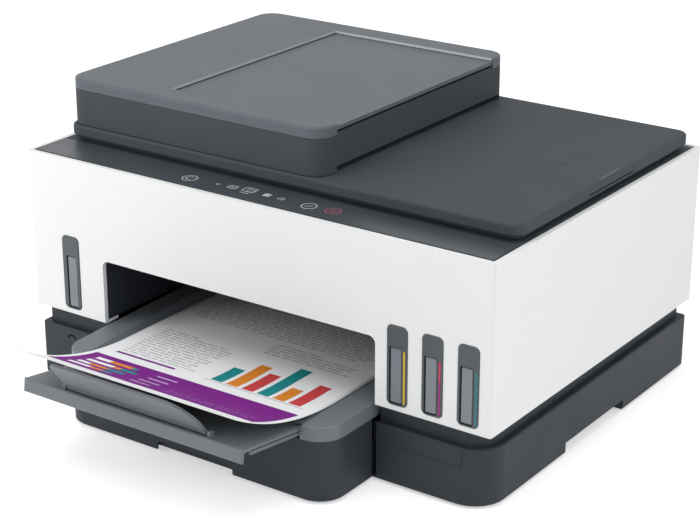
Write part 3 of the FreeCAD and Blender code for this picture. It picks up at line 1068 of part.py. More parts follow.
def make_lid():
    """Scanner lid with a tapered underside, a recess for the pad and notches round the towers."""
    body = new_body("lid")
    width = "lid_right - lid_left"
    depth = "lid_back - lid_front"
    block(body, "plate", "XY", ("lid_left", "lid_front", "lid_bottom"), width, depth,
          "lid_top - lid_bottom", "lid_corner")
    finish_edges(body, "taper", "Chamfer", "lid_taper", lambda edge: lies_on(edge, Z="lid_bottom"))
    finish_edges(body, "top_round", "Fillet", "lid_round", lambda edge: lies_on(edge, Z="lid_top"))
    block(body, "pad_recess", "XY", ("-pad_half", "pad_front", "lid_bottom - overcut"), "2 * pad_half",
          "pad_back - pad_front", "overcut + pad_thick - pad_proud", cut=True)
    block(body, "stop_pocket", "XY", ("lid_right - catch_width - catch_gap", "catch_front - catch_gap",
                                      "lid_top - catch_thick - catch_gap"),
          "catch_width + catch_gap + overcut", "catch_length + 2 * catch_gap",
          "catch_thick + catch_gap + overcut",
          cut=True)
    block(body, "lip_pocket", "XY", ("lid_right - catch_lip_thick - catch_gap", "catch_front - catch_gap",
                                     "lid_top - catch_lip - catch_gap"),
          "catch_lip_thick + catch_gap + overcut", "catch_length + 2 * catch_gap",
          "catch_lip + catch_gap + overcut",
          cut=True)
    notch = "(tower_width / 2 + side_gap)"
    front = "lid_hinge_y - 3 * tower_round"
    for side in (-1, 1):
        block(body, "tower_notch", "XY", (f"{side} * lid_hinge_x - {notch}", front, "lid_bottom - overcut"),
              f"2 * {notch}", f"lid_back - ({front}) + overcut",
              "lid_hinge_z + tower_round + side_gap - lid_bottom + overcut",
              cut=True)
        rod(body, "hinge_bore", "YZ", (f"{side} * lid_hinge_x - {notch} - pin_reach", "lid_hinge_y",
                                       "lid_hinge_z"),
            "hinge_pin + run_gap", f"2 * {notch} + 2 * pin_reach", cut=True)
    return body


def make_lid_pad():
    """White backing pad in the lid's recess, just clear of the glass."""
    body = new_body("lid_pad")
    block(body, "pad", "XY", ("-pad_half + catch_gap", "pad_front + catch_gap", "lid_bottom - pad_proud"),
          "2 * (pad_half - catch_gap)", "pad_back - pad_front - 2 * catch_gap", "pad_thick")
    return body


def make_document_stop():
    """Sliding stop for fed documents: a flat plate in the lid whose lip lies flush with its right side."""
    body = new_body("document_stop")
    block(body, "plate", "XY", ("lid_right - catch_width", "catch_front", "lid_top - catch_thick"),
          "catch_width", "catch_length", "catch_thick")
    block(body, "lip", "XY", ("lid_right - catch_lip_thick", "catch_front", "lid_top - catch_lip"),
          "catch_lip_thick", "catch_length", "catch_lip")
    finish_edges(body, "top_round", "Fillet", "lid_round",
                 lambda edge: lies_on(edge, X="lid_right") and lies_on(edge, Z="lid_top"))
    return body


def make_feeder_body():
    """Fixed lower case of the document feeder, with the exit slot and the roller chamber."""
    body = new_body("feeder_body")
    block(body, "foot", "XY", ("lid_left + seam_inset", "feeder_front + seam_inset", "lid_top"),
          f"{FEEDER_WIDTH} - 2 * seam_inset", f"{FEEDER_DEPTH} - 2 * seam_inset", "2 * seam_height",
          "feeder_corner - seam_inset")
    block(body, "case", "XY", ("lid_left", "feeder_front", "lid_top + seam_height"), FEEDER_WIDTH,
          FEEDER_DEPTH, "feeder_top - lid_top - seam_height", "feeder_corner")
    between_posts = f"{FEEDER_DEPTH} - post_front - post_back"
    block(body, "exit_slot", "XY", ("exit_left", "feeder_front + post_front", "lid_top - overcut"),
          "feeder_right - exit_left + overcut", between_posts, "exit_height + overcut", cut=True)
    block(body, "side_panel", "XY", ("feeder_right - panel_inset", "feeder_front + post_front", "lid_top"),
          "panel_inset + overcut", between_posts, "feeder_top - lid_top + overcut", cut=True)
    block(body, "chamber", "XY", ("lid_left + feeder_wall", "feeder_front + feeder_wall", CHAMBER_FLOOR),
          "chamber_right - lid_left - feeder_wall", f"{FEEDER_DEPTH} - 2 * feeder_wall",
          "feeder_top - lid_top", "feeder_corner - feeder_wall", cut=True)
    inner_left = "chamber_right - feeder_wall"
    inner_width = f"feeder_right - panel_inset - feeder_wall - ({inner_left})"
    flap_length = "flap_back - flap_front"
    block(body, "over_shelf", "XY", (inner_left, "flap_front", "lid_top + shelf_height"), inner_width,
          flap_length, "feeder_top - lid_top", cut=True)
    block(body, "under_shelf", "XY", (inner_left, "flap_front", CHAMBER_FLOOR), inner_width, flap_length,
          f"lid_top + shelf_height - feeder_wall - ({CHAMBER_FLOOR})", cut=True)
    block(body, "panel_edge", "XY",
          ("feeder_right - panel_inset - feeder_wall", "flap_front + side_gap", "feeder_top - overcut"),
          "feeder_wall", f"{flap_length} - 2 * side_gap", "panel_rise + overcut")
    block(body, "hinge_relief", "XY", ("lid_left - overcut", "feeder_front + 2 * cover_hinge",
                                       "feeder_top - relief"),
          "overcut + cover_hinge + feeder_wall", f"{FEEDER_DEPTH} - 4 * cover_hinge",
          "relief + overcut", cut=True)
    for y in KNUCKLES:
        ear_low = "feeder_top - 2 * cover_hinge"
        block(body, "knuckle_ear", "XY", (f"{HINGE_X} - knuckle", y, ear_low), "2 * knuckle",
              "knuckle_width", f"{HINGE_Z} - ({ear_low})")
        rod(body, "knuckle", "XZ", (HINGE_X, y, HINGE_Z), "knuckle", "knuckle_width")
        rod(body, "knuckle_bore", "XZ", (HINGE_X, f"{y} - overcut", HINGE_Z), "knuckle_pin + run_gap",
            "knuckle_width + 2 * overcut", cut=True)
    for x in ("drum_x", NIP_X):
        rod(body, "roller_bores", "XZ", (x, "feeder_front + bore_end", "drum_z"), "axle_radius + run_gap",
            f"{FEEDER_DEPTH} - 2 * bore_end", cut=True)
    return body


def make_feeder_roller(label, x, radius):
    """Roller across the feeder's chamber, on an axle in the case's end walls."""
    body = new_body(label)
    rod(body, "axle", "XZ", (x, "feeder_front + bore_end + run_gap", "drum_z"), "axle_radius",
        f"{FEEDER_DEPTH} - 2 * bore_end - 2 * run_gap")
    rod(body, "sleeve", "XZ", (x, "feeder_front + drum_inset", "drum_z"), radius,
        f"{FEEDER_DEPTH} - 2 * drum_inset")
    return body


def make_feeder_cover():
    """Jam cover over the feeder, hinged at its left edge and open on the right for the flap."""
    body = new_body("feeder_cover")
    block(body, "cover", "XY", ("lid_left", "feeder_front", COVER_BOTTOM), FEEDER_WIDTH, FEEDER_DEPTH,
          f"cover_top - ({COVER_BOTTOM})", "feeder_corner")
    finish_edges(body, "top_round", "Fillet", "cover_round", lambda edge: lies_on(edge, Z="cover_top"))
    below = f"{COVER_BOTTOM} - overcut"
    block(body, "flap_opening", "XY", ("flap_left", "flap_front", below),
          "feeder_right - flap_left + overcut", "flap_back - flap_front",
          f"cover_top - ({below}) + overcut", cut=True)
    block(body, "inside", "XY", ("lid_left + feeder_wall", "feeder_front + feeder_wall", below),
          "flap_left - lid_left - 2 * feeder_wall", f"{FEEDER_DEPTH} - 2 * feeder_wall",
          f"cover_top - cover_skin - ({below})", "feeder_corner - feeder_wall", cut=True)
    for y in KNUCKLES:
        add_cover_hinge(body, y, below)
    rod(body, "flap_bores", "XZ", (FLAP_AXIS_X, "flap_front - pin_seat - overcut", FLAP_AXIS_Z),
        "flap_pin + run_gap", "flap_back - flap_front + 2 * pin_seat + 2 * overcut", cut=True)
    return body


def add_cover_hinge(body, y, below):
    """Open the cover's edge round a knuckle and add the two ribs that hold its pin."""
    gap = "cover_gap * 2"
    block(body, "knuckle_room", "XY", ("lid_left - overcut", f"{y} - {gap}", below),
          "feeder_wall + 2 * overcut", f"knuckle_width + 2 * {gap}",
          f"{HINGE_Z} + knuckle + {gap} - ({below})", cut=True)
    for rib_y in (f"{y} - {gap} - feeder_wall", f"{y} + knuckle_width + {gap}"):
        block(body, "pin_rib", "XY", ("lid_left + cover_gap", rib_y, f"{COVER_BOTTOM} + cover_gap"),
              "cover_hinge + knuckle", "feeder_wall",
              f"cover_top - cover_skin / 2 - ({COVER_BOTTOM}) - cover_gap")
    rod(body, "knuckle_pin", "XZ", (HINGE_X, f"{y} - {gap} - overcut", HINGE_Z), "knuckle_pin",
        f"knuckle_width + 2 * {gap} + 2 * overcut")


def make_feeder_flap():
    """Document flap on stub pins in the cover; turned up it becomes the input tray."""
    body = new_body("feeder_flap")
    front = "flap_front + flap_gap"
    length = "flap_back - flap_front - 2 * flap_gap"
    block(body, "plate", "XY", (FLAP_AXIS_X, front, f"{FLAP_TOP} - flap_thick"),
          f"feeder_right - flap_gap - ({FLAP_AXIS_X})", length, "flap_thick")
    rod(body, "round_edge", "XZ", (FLAP_AXIS_X, front, FLAP_AXIS_Z), "flap_thick / 2", length)
    rod(body, "pins", "XZ", (FLAP_AXIS_X, "flap_front - pin_seat", FLAP_AXIS_Z), "flap_pin",
        "flap_back - flap_front + 2 * pin_seat")
    return body




def check_document():
    """Stop if a feature failed, a pocket cut nothing or a sub-part is not a valid shape."""
    DOC.recompute()
    for item in DOC.Objects:
        if "Invalid" in item.State or "Error" in item.State:
            raise RuntimeError(f"{item.Label} failed: {item.State}")
        if item.TypeId == "PartDesign::Pocket" and item.BaseFeature.Shape.Volume - item.Shape.Volume < NEAR:
            raise RuntimeError(f"{item.Label} in {item.getParentGeoFeatureGroup().Label} cuts nothing")
    for piece in PIECES:
        if piece.Shape.isNull() or not piece.Shape.isValid():
            raise RuntimeError(f"{piece.Label} has no valid shape")


def write_steps():
    """Write each sub-part to its own STEP file, named by its label."""
    os.makedirs("parts", exist_ok=True)
    for piece in PIECES:
        piece.Shape.exportStep(f"parts/{piece.Label}.step")
        print(f"{piece.Label}: {piece.Shape.Volume / 1000:.2f} cm3, {len(piece.Shape.Solids)} solid(s)")


fill_sheet()
PIECES = [
    make_lower_housing(), make_outer_shell(), make_mouth_liner(),
    make_input_tray(), make_paper_guide("guide_left", -1), make_paper_guide("guide_right", 1),
    make_output_cover(), make_extension(), make_paper_stop(), make_printed_sheet(),
    *make_paper_drive(), make_print_frame(), make_print_bed(), *make_carriage_set(),
    *make_electronics(), make_feet(), make_frame_screws(), make_rear_door(),
    make_button("power_button", 0), make_button("wireless_button", 1),
    make_scanner_deck(), *make_scan_parts(), make_lid(), make_lid_pad(), make_document_stop(),
    make_feeder_body(), make_feeder_cover(), make_feeder_flap(),
    make_feeder_roller("feeder_roller", "drum_x", "drum_radius"),
    make_feeder_roller("feeder_idler", NIP_X, "nip_radius"),
    *[make(ink) for ink in INKS for make in (make_bezel, make_ink_tank, make_tank_cap)],
]
check_document()
write_steps()
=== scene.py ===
# %% [markdown]
# # An ink-tank printer, dressed for its portrait
# The solids come from the CAD file and stay exactly where they are. This lesson gives them their
# finishes, then adds what a solid can't carry: the curled page and its print, the touch icons, the
# colour strips, and the small marks and contacts of a real machine.

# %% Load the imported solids
import json

import bpy
import numpy as np
from mathutils import Matrix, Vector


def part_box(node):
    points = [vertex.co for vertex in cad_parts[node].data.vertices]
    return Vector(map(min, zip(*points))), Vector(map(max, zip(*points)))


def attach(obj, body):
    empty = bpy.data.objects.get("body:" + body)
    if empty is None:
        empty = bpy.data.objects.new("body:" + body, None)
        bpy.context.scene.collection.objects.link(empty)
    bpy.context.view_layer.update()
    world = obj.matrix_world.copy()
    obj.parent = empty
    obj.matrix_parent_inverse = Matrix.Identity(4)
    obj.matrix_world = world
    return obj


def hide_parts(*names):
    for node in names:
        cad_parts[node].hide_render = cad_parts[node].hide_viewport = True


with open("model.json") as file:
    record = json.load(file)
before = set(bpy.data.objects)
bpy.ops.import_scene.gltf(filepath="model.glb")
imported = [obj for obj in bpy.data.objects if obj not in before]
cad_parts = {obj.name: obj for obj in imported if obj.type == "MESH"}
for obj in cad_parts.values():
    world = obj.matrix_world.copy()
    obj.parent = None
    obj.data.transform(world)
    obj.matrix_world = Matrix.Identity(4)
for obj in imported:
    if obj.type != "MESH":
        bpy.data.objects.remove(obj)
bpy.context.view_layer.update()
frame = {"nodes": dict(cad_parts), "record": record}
nodes = frame["nodes"]

# %% [markdown]
# Lengths below are written in millimetres, as on a drawing. The drawing's y starts at the white
# front of the shell and runs back, so one number carries a drawing y into the shared frame.

# %% Millimetres on the drawing
MM = 0.001
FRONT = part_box("outer_shell")[0].y


def on_drawing(x, y, z):
    """Drawing millimetres to metres: x and z are scaled, y is scaled and moved to the shell's front."""
    x, y, z = np.broadcast_arrays(np.asarray(x, float), np.asarray(y, float), np.asarray(z, float))
    return np.stack([x * MM, y * MM + FRONT, z * MM], axis=-1)


print("shell front at y =", round(FRONT, 5), "m")

# %% [markdown]
# Colours are picked as screen hex codes, because that is how a photograph is read. Blender mixes
# light in linear values, so one function undoes the screen's curve. A second small function adds a
# node, sets it and wires it, which keeps every finish below down to the recipe itself.

# %% Colour and node helpers
def linear(code, alpha=1.0):
    """Hex screen colour to linear light, by the screen's standard curve.

    Up to 0.04045 a value is divided by 12.92. Above, 0.055 is added, the sum is divided by 1.055
    and raised to the power 2.4.
    """
    parts = np.array([int(code[i:i + 2], 16) / 255 for i in (1, 3, 5)])
    curve = np.where(parts <= 0.04045, parts / 12.92, ((parts + 0.055) / 1.055) ** 2.4)
    return (*curve.tolist(), alpha)


def add_node(tree, kind, inputs=None, **settings):
    """Add a shader node of that kind, give it its settings, and set or link each named input.

    An input may be a value, another node's socket, or a node, which stands for its first live output.
    """
    node = tree.nodes.new("ShaderNode" + kind)
    for name, value in settings.items():
        setattr(node, name, value)
    for name, value in (inputs or {}).items():
        if isinstance(value, bpy.types.Node):
            value = next(socket for socket in value.outputs if socket.enabled)
        if isinstance(value, bpy.types.NodeSocket):
            tree.links.new(value, node.inputs[name])
        else:
            node.inputs[name].default_value = value
    return node


def new_finish(name):
    """An empty material, its node tree, and the piece's own coordinates for its patterns."""
    finish = bpy.data.materials.new(name)
    finish.use_nodes = True
    finish.node_tree.nodes.clear()
    return finish, finish.node_tree, add_node(finish.node_tree, "TexCoord").outputs["Object"]


def shades(colour, spread):
    """A darker and a lighter shade: the linear colour times one minus and one plus spread, at most 1."""
    base = np.array(linear(colour)[:3])
    return (*(base * (1 - spread)), 1.0), (*np.minimum(base * (1 + spread), 1.0), 1.0)


# most of a noise's values lie between these two, so a pattern is stretched from here to full contrast
NOISE_SPAN = {"From Min": 0.3, "From Max": 0.7}
print("middle screen grey in linear light:", round(linear("#808080")[0], 3))

# %% [markdown]
# ## Moulded plastic
# Most of the machine is injection-moulded ABS or polystyrene. The steel mould is spark-eroded, so
# the plastic comes out with a fine pebble grain. The grain breaks up highlights, and long handling
# polishes it in patches. A flat colour could not show either, so each plastic gets three layers:
# a broad, faint drift of tone, a pebble bump, and a roughness that follows the pebbles and the
# polished patches. Real spark grain is about 0.2 mm across. One pixel here covers 0.8 mm, so the
# grain is drawn coarser than it is, just enough to be seen.

# %% One recipe for every moulded plastic
CLOUD_MM = 70.0
SPECK_SHARE = 0.6
POLISH = 0.09


def moulded_plastic(name, colour, roughness, grain_mm=1.1, relief_mm=0.02, drift=0.05, gloss=0.5):
    """Pebble noise at grain_mm drives bump, specks and roughness; broad clouds drift tone and polish.

    The tone goes from one minus to one plus drift, the specks by SPECK_SHARE of that, and the
    roughness, which follows pebbles plus clouds, by POLISH to either side.
    """
    finish, tree, place = new_finish(name)
    pebble = add_node(tree, "TexNoise",
                      {"Vector": place, "Scale": 1 / (grain_mm * MM), "Detail": 2.0, "Roughness": 0.55})
    cloud = add_node(tree, "TexNoise",
                     {"Vector": place, "Scale": 1 / (CLOUD_MM * MM), "Detail": 4.0, "Roughness": 0.6})
    low, high = shades(colour, drift)
    spread = add_node(tree, "MapRange", {"Value": cloud, **NOISE_SPAN})
    tone = add_node(tree, "Mix", {0: spread, 6: low, 7: high}, data_type="RGBA")
    speck = add_node(tree, "MapRange",
                     {"Value": pebble, "From Min": 0.35, "From Max": 0.65,
                      "To Min": 1 - SPECK_SHARE * drift, "To Max": 1 + SPECK_SHARE * drift})
    grained = add_node(tree, "Mix", {0: 1.0, 6: tone, 7: speck}, data_type="RGBA", blend_type="MULTIPLY")
    worn = add_node(tree, "Math", {0: pebble, 1: cloud}, operation="ADD")
    rough = add_node(tree, "MapRange",
                     {"Value": worn, "From Min": 0.7, "From Max": 1.3,
                      "To Min": roughness - POLISH, "To Max": roughness + POLISH})
    bump = add_node(tree, "Bump", {"Height": pebble, "Strength": 0.6, "Distance": relief_mm * MM})
    shader = add_node(tree, "BsdfPrincipled",
                      {"Base Color": grained, "Roughness": rough,
                       "Normal": bump, "Specular IOR Level": gloss, "IOR": 1.5})
    add_node(tree, "OutputMaterial", {"Surface": shader})
    return finish


# white ABS shell: bright and clean, its fine grain only softens the highlights
shell_white = moulded_plastic("spark_grained_white_abs", "#F0F2F1", 0.52, drift=0.012, relief_mm=0.012)
# dark polystyrene base and drawer: deep grey that catches a broad, dull light on its rounded corners
base_grey = moulded_plastic("spark_grained_dark_polystyrene", "#2C3138", 0.58, drift=0.07, gloss=0.32)
# lid, feeder body and scanner rim: grey ABS with a coarse leather grain, matt even at a low angle
lid_grey = moulded_plastic("leather_grained_grey_abs", "#4A4F54", 0.62, grain_mm=1.6, relief_mm=0.04,
                           gloss=0.08)
# feeder cover and flap: a smoother, lighter grey with an even, dull face
feeder_grey = moulded_plastic("satin_grey_abs", "#666C72", 0.42, grain_mm=0.9, relief_mm=0.008,
                              gloss=0.08)
# extension and paper stop: a paler grey than the drawer, so that the moving pieces stand out
guide_grey = moulded_plastic("satin_pale_grey_abs", "#6D7277", 0.48, grain_mm=0.9, relief_mm=0.01)
# output cover: nearly the extension's grey, a little rougher, so that its wings stand off the drawer
cover_grey = moulded_plastic("satin_mid_grey_abs", "#6D7378", 0.5, grain_mm=0.9, relief_mm=0.01)
# touch strip: a printed film under hard coat, smoother than the mouldings round it
touch_strip = moulded_plastic("hard_coated_touch_strip", "#43474D", 0.38, grain_mm=0.8,
                              relief_mm=0.003, drift=0.03)
# window bezels and tank caps: dark grey polypropylene with a soft shine
bezel_grey = moulded_plastic("satin_dark_polypropylene", "#4B5055", 0.46, grain_mm=0.9, relief_mm=0.008)
# inner mouldings: plain black glass-filled plastic, dull and slightly streaky
inner_black = moulded_plastic("glass_filled_black_nylon", "#232528", 0.5, grain_mm=1.4, drift=0.12)
# gears and pulleys: natural acetal, milky and slightly waxy
acetal = moulded_plastic("natural_acetal", "#E6E2D4", 0.35, grain_mm=2.0, relief_mm=0.004, drift=0.03)
# lid pad: white foam with an open-celled, chalky face
foam = moulded_plastic("white_open_cell_foam", "#ECECE8", 0.9, grain_mm=0.9, relief_mm=0.12,
                       drift=0.03, gloss=0.2)
# feet and belt: vulcanised rubber, near black, with a bloom that dulls it
rubber = moulded_plastic("vulcanised_black_rubber", "#1E1E1E", 0.82, grain_mm=0.8, relief_mm=0.02,
                         drift=0.15, gloss=0.3)
print(len(bpy.data.materials), "materials so far")

# %% [markdown]
# ## Metal, glass, board, paper and ink
# Sheet steel inside the machine is zinc-plated: bright, with the faint lines of the rolling mill.
# The lines are stretched noise, fine across the rolling and long along it. Metal keeps the default
# IOR, and all its colour comes from the base colour.

# %% Rolled steel
def rolled_steel(name, colour, roughness, line_mm):
    """Noise stretched sixty times along x draws rolling lines line_mm apart in tone, gloss and bump.

    Where the noise is low, the tone falls to four fifths of the colour.
    """
    finish, tree, place = new_finish(name)
    drawn = add_node(tree, "Mapping", {"Vector": place, "Scale": (1 / 60, 1.0, 1.0)})
    lines = add_node(tree, "TexNoise", {"Vector": drawn, "Scale": 1 / (line_mm * MM), "Detail": 3.0})
    base = np.array(linear(colour))
    tone = add_node(tree, "Mix",
                    {0: lines, 6: (*(base[:3] * 0.8), 1.0), 7: tuple(base)},
                    data_type="RGBA")
    rough = add_node(tree, "MapRange",
                     {"Value": lines, **NOISE_SPAN,
                      "To Min": roughness - 0.08, "To Max": roughness + 0.08})
    bump = add_node(tree, "Bump", {"Height": lines, "Strength": 0.25, "Distance": 0.01 * MM})
    shader = add_node(tree, "BsdfPrincipled",
                      {"Base Color": tone, "Roughness": rough,
                       "Normal": bump, "Metallic": 1.0})
    add_node(tree, "OutputMaterial", {"Surface": shader})
    return finish


# zinc-plated chassis sheet, ground rods and screws: cool, bright and lightly lined
zinc_steel = rolled_steel("zinc_plated_rolled_steel", "#B4B8BA", 0.34, 1.2)
# motor can and power-supply case: thicker, duller plating
can_steel = rolled_steel("dull_plated_motor_steel", "#8C9093", 0.46, 1.5)
print("two steels")

# %% [markdown]
# Each roller is one turned piece on the drawing, but it is made of three things: a ground steel
# axle, a rubber sleeve where it grips the page, and an acetal gear or collar on its left end. They
# follow each other along the axis, so the place along that axis chooses the finish. The feeder's
# rollers have no gear, and their gear band is put beyond the roller's end.

# %% Rollers in three materials
GRIT_MM = 0.9


def roller_finish(name, axis, sleeve_mm, gear_mm):
    """Along axis, places inside sleeve_mm are gritty rubber, inside gear_mm acetal, all others steel.

    A place is inside a band if it is no further from the band's middle than half the band's width.
    """
    finish, tree, place = new_finish(name)
    along = add_node(tree, "SeparateXYZ", {"Vector": place}).outputs[axis]
    grit = add_node(tree, "TexNoise", {"Vector": place, "Scale": 1 / (GRIT_MM * MM), "Detail": 2.0})
    sleeve, gear = [
        add_node(tree, "Math", {0: along, 1: (low + high) / 2 * MM, 2: (high - low) / 2 * MM},
                 operation="COMPARE")
        for low, high in (sleeve_mm, gear_mm)
    ]
    tinted = add_node(tree, "Mix",
                      {0: grit, 6: linear("#161617"), 7: linear("#2A2A2C")},
                      data_type="RGBA")
    gripped = add_node(tree, "Mix", {0: sleeve, 6: linear("#B9BCBE"), 7: tinted}, data_type="RGBA")
    geared = add_node(tree, "Mix", {0: gear, 6: gripped, 7: linear("#E2DECF")}, data_type="RGBA")
    covered = add_node(tree, "Math", {0: sleeve, 1: gear}, operation="MAXIMUM")
    bare = add_node(tree, "Math", {0: 1.0, 1: covered}, operation="SUBTRACT")
    rough = add_node(tree, "MapRange", {"Value": sleeve, "To Min": 0.33, "To Max": 0.85})
    bump = add_node(tree, "Bump", {"Height": grit, "Strength": 0.3, "Distance": 0.02 * MM})
    shader = add_node(tree, "BsdfPrincipled",
                      {"Base Color": geared, "Metallic": bare,
                       "Roughness": rough, "Normal": bump})
    add_node(tree, "OutputMaterial", {"Surface": shader})
    return finish


# steel, rubber and acetal on one roller: bright ends, a dull black middle and a milky gear
paper_roller = roller_finish("ground_axle_with_rubber_sleeve", "X",
                             sleeve_mm=(-188, 190), gear_mm=(-203, -194))
feeder_drum = roller_finish("feeder_drum_with_rubber_sleeve", "Y", sleeve_mm=(-40, 214), gear_mm=(-60, -59))
print("rollers:", paper_roller.name, feeder_drum.name)

# %% [markdown]
# A circuit board is glass fibre under green solder lacquer. Copper tracks run square to the edges
# beneath it and show as slightly lighter lines, with tinned pads between them. Brick rows with a
# wide offset give the tracks, and a cell pattern gives the pads.

# %% Circuit board
def lacquered_board():
    """Bricks 9 by 3 mm leave lighter joints for tracks; cells 6 mm apart leave small bright pads."""
    finish, tree, place = new_finish("green_lacquered_circuit_board")
    tracks = add_node(tree, "TexBrick",
                      {"Vector": place, "Color1": linear("#14532F"), "Color2": linear("#185A35"),
                       "Mortar": linear("#2F7A4C"), "Scale": 1 / (10 * MM), "Mortar Size": 0.06,
                       "Brick Width": 0.9, "Row Height": 0.3})
    cells = add_node(tree, "TexVoronoi", {"Vector": place, "Scale": 1 / (6 * MM)})
    pad = add_node(tree, "Math", {0: cells.outputs["Distance"], 1: 0.16}, operation="LESS_THAN")
    colour = add_node(tree, "Mix",
                      {0: pad, 6: tracks.outputs["Color"], 7: linear("#C9CBC4")},
                      data_type="RGBA")
    bump = add_node(tree, "Bump",
                    {"Height": tracks.outputs["Fac"], "Strength": 0.3, "Distance": 0.05 * MM})
    shader = add_node(tree, "BsdfPrincipled",
                      {"Base Color": colour, "Roughness": 0.28, "Metallic": pad,
                       "Normal": bump})
    add_node(tree, "OutputMaterial", {"Surface": shader})
    return finish


# green lacquer over copper: shiny, with paler tracks and bright tinned pads
board_green = lacquered_board()
print("board:", board_green.name)

# %% [markdown]
# The two panes of the scanner are plain float glass over a dark tub. Clean glass is smooth, and only
# a breath of handling dust changes its polish. Transmission lets the tub and the scan bar show.

# %% Float glass
def float_glass():
    """Clear glass of IOR 1.52; dust clouds 50 mm across roughen it by at most 0.05."""
    finish, tree, place = new_finish("float_glass")
    dust = add_node(tree, "TexNoise", {"Vector": place, "Scale": 1 / (50 * MM), "Detail": 5.0})
    rough = add_node(tree, "MapRange",
                     {"Value": dust, "From Min": 0.4, "From Max": 0.8,
                      "To Min": 0.0, "To Max": 0.05})
    tint = add_node(tree, "Mix", {0: dust, 6: linear("#F4FAF7"), 7: linear("#E6F0EC")}, data_type="RGBA")
    shader = add_node(tree, "BsdfPrincipled",
                      {"Base Color": tint, "Roughness": rough, "IOR": 1.52,
                       "Transmission Weight": 1.0})
    add_node(tree, "OutputMaterial", {"Surface": shader})
    return finish


# float glass: clear and faintly green, with the dark tub showing through
scanner_glass = float_glass()
print("glass:", scanner_glass.name)

# %% [markdown]
# An ink tank is blown from milky polypropylene. Its nose fills the window in the white front and is
# smoked grey, so the ink level only just shows, and behind the shell the ink's own colour tints
# the walls. The change lies at one depth behind the front, so the drawing's y decides it.

# %% Ink tanks
NOSE_END, COLOUR_START = 5.0, 8.0
INK_LEVEL = 118.0


def tank_finish(name, ink, wall):
    """Smoked grey up to NOSE_END behind the front; past COLOUR_START, ink up to INK_LEVEL, then bare wall."""
    finish, tree, place = new_finish(name)
    where = add_node(tree, "SeparateXYZ", {"Vector": place})
    behind = add_node(tree, "MapRange",
                      {"Value": where.outputs["Y"], "From Min": FRONT + NOSE_END * MM,
                       "From Max": FRONT + COLOUR_START * MM})
    above_ink = add_node(tree, "MapRange",
                         {"Value": where.outputs["Z"], "From Min": INK_LEVEL * MM,
                          "From Max": (INK_LEVEL + 1) * MM})
    cloud = add_node(tree, "TexNoise", {"Vector": place, "Scale": 1 / (25 * MM), "Detail": 3.0})
    smoke = add_node(tree, "Mix",
                     {0: cloud, 6: linear("#757B81"), 7: linear("#83898F")},
                     data_type="RGBA")
    body = add_node(tree, "Mix", {0: above_ink, 6: linear(ink), 7: linear(wall)}, data_type="RGBA")
    colour = add_node(tree, "Mix", {0: behind, 6: smoke, 7: body}, data_type="RGBA")
    rough = add_node(tree, "MapRange", {"Value": cloud, **NOISE_SPAN, "To Min": 0.22, "To Max": 0.34})
    shader = add_node(tree, "BsdfPrincipled", {"Base Color": colour, "Roughness": rough, "IOR": 1.49})
    add_node(tree, "OutputMaterial", {"Surface": shader})
    return finish


# blown polypropylene: smooth and half shiny, grey at the window and dyed by its ink behind it
tank_table = [("black", "#1C1C1F", "#9B9B9B"), ("yellow", "#D9B21A", "#CFCBB8"),
              ("magenta", "#A81E63", "#CDBFC6"), ("cyan", "#127F93", "#BBC8CB")]
tanks = {name: tank_finish(f"polypropylene_with_{name}_ink", ink, wall) for name, ink, wall in tank_table}
print("tanks:", ", ".join(tanks))

# %% [markdown]
# ## Giving each solid its finish
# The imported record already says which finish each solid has, by slot. The table below turns a slot
# into the material made above. The rollers, which hold several materials, and the output cover are
# named on their own. The sheet gets none, because a page of its own will stand for it.

# %% Assign the finishes
by_slot = {
    "white_shell": shell_white, "dark_grey": base_grey, "lid_grey": lid_grey,
    "feeder_grey": feeder_grey, "pale_grey": guide_grey, "control_black": touch_strip,
    "bezel_black": bezel_grey, "ink_black": tanks["black"], "ink_yellow": tanks["yellow"],
    "ink_magenta": tanks["magenta"], "ink_cyan": tanks["cyan"], "zinc_steel": zinc_steel,
    "motor_steel": can_steel, "black_moulding": inner_black, "black_rubber": rubber,
    "natural_plastic": acetal, "board_green": board_green, "clear_glass": scanner_glass,
    "white_foam": foam,
}
by_node = {
    "feed_roller": paper_roller, "eject_roller": paper_roller, "pick_roller": paper_roller,
    "pinch_roller": paper_roller, "feeder_roller": feeder_drum, "feeder_idler": feeder_drum,
    "output_cover": cover_grey,
}
dressed = 0
for part in frame["record"]["subparts"]:
    finish = by_node.get(part["node"], by_slot.get(part["material_slot"]))
    if finish:
        nodes[part["node"]].data.materials.clear()
        nodes[part["node"]].data.materials.append(finish)
        dressed += 1
print("finishes on", dressed, "of", len(nodes), "solids")

# %% [markdown]
# ## The page
# One sheet of office paper has just been printed. Its back half still lies flat in the mouth, and
# its lead edge rises over the stop in one long curl. Paper bends one way only, so the surface is
# a straight line across the page carried along a profile: flat, then a circular arc. The distance
# along the paper stays true, so nothing printed on it stretches. A few hundredths of a millimetre
# of cockle, from wet ink, keep it from looking like sheet metal.

# %% The page's surface
PAGE_LEFT, PAGE_WIDTH, PAGE_LENGTH = -116.6, 210.0, 297.0
CURL_START, CURL_RADIUS, FLAT_HEIGHT = -8.0, 238.0, 62.15
PAGE_BACK = 136.1
CURL_LENGTH = PAGE_LENGTH - (PAGE_BACK - CURL_START)
COCKLE, COCKLE_ACROSS, COCKLE_ALONG = 0.05, 17.0, 23.0


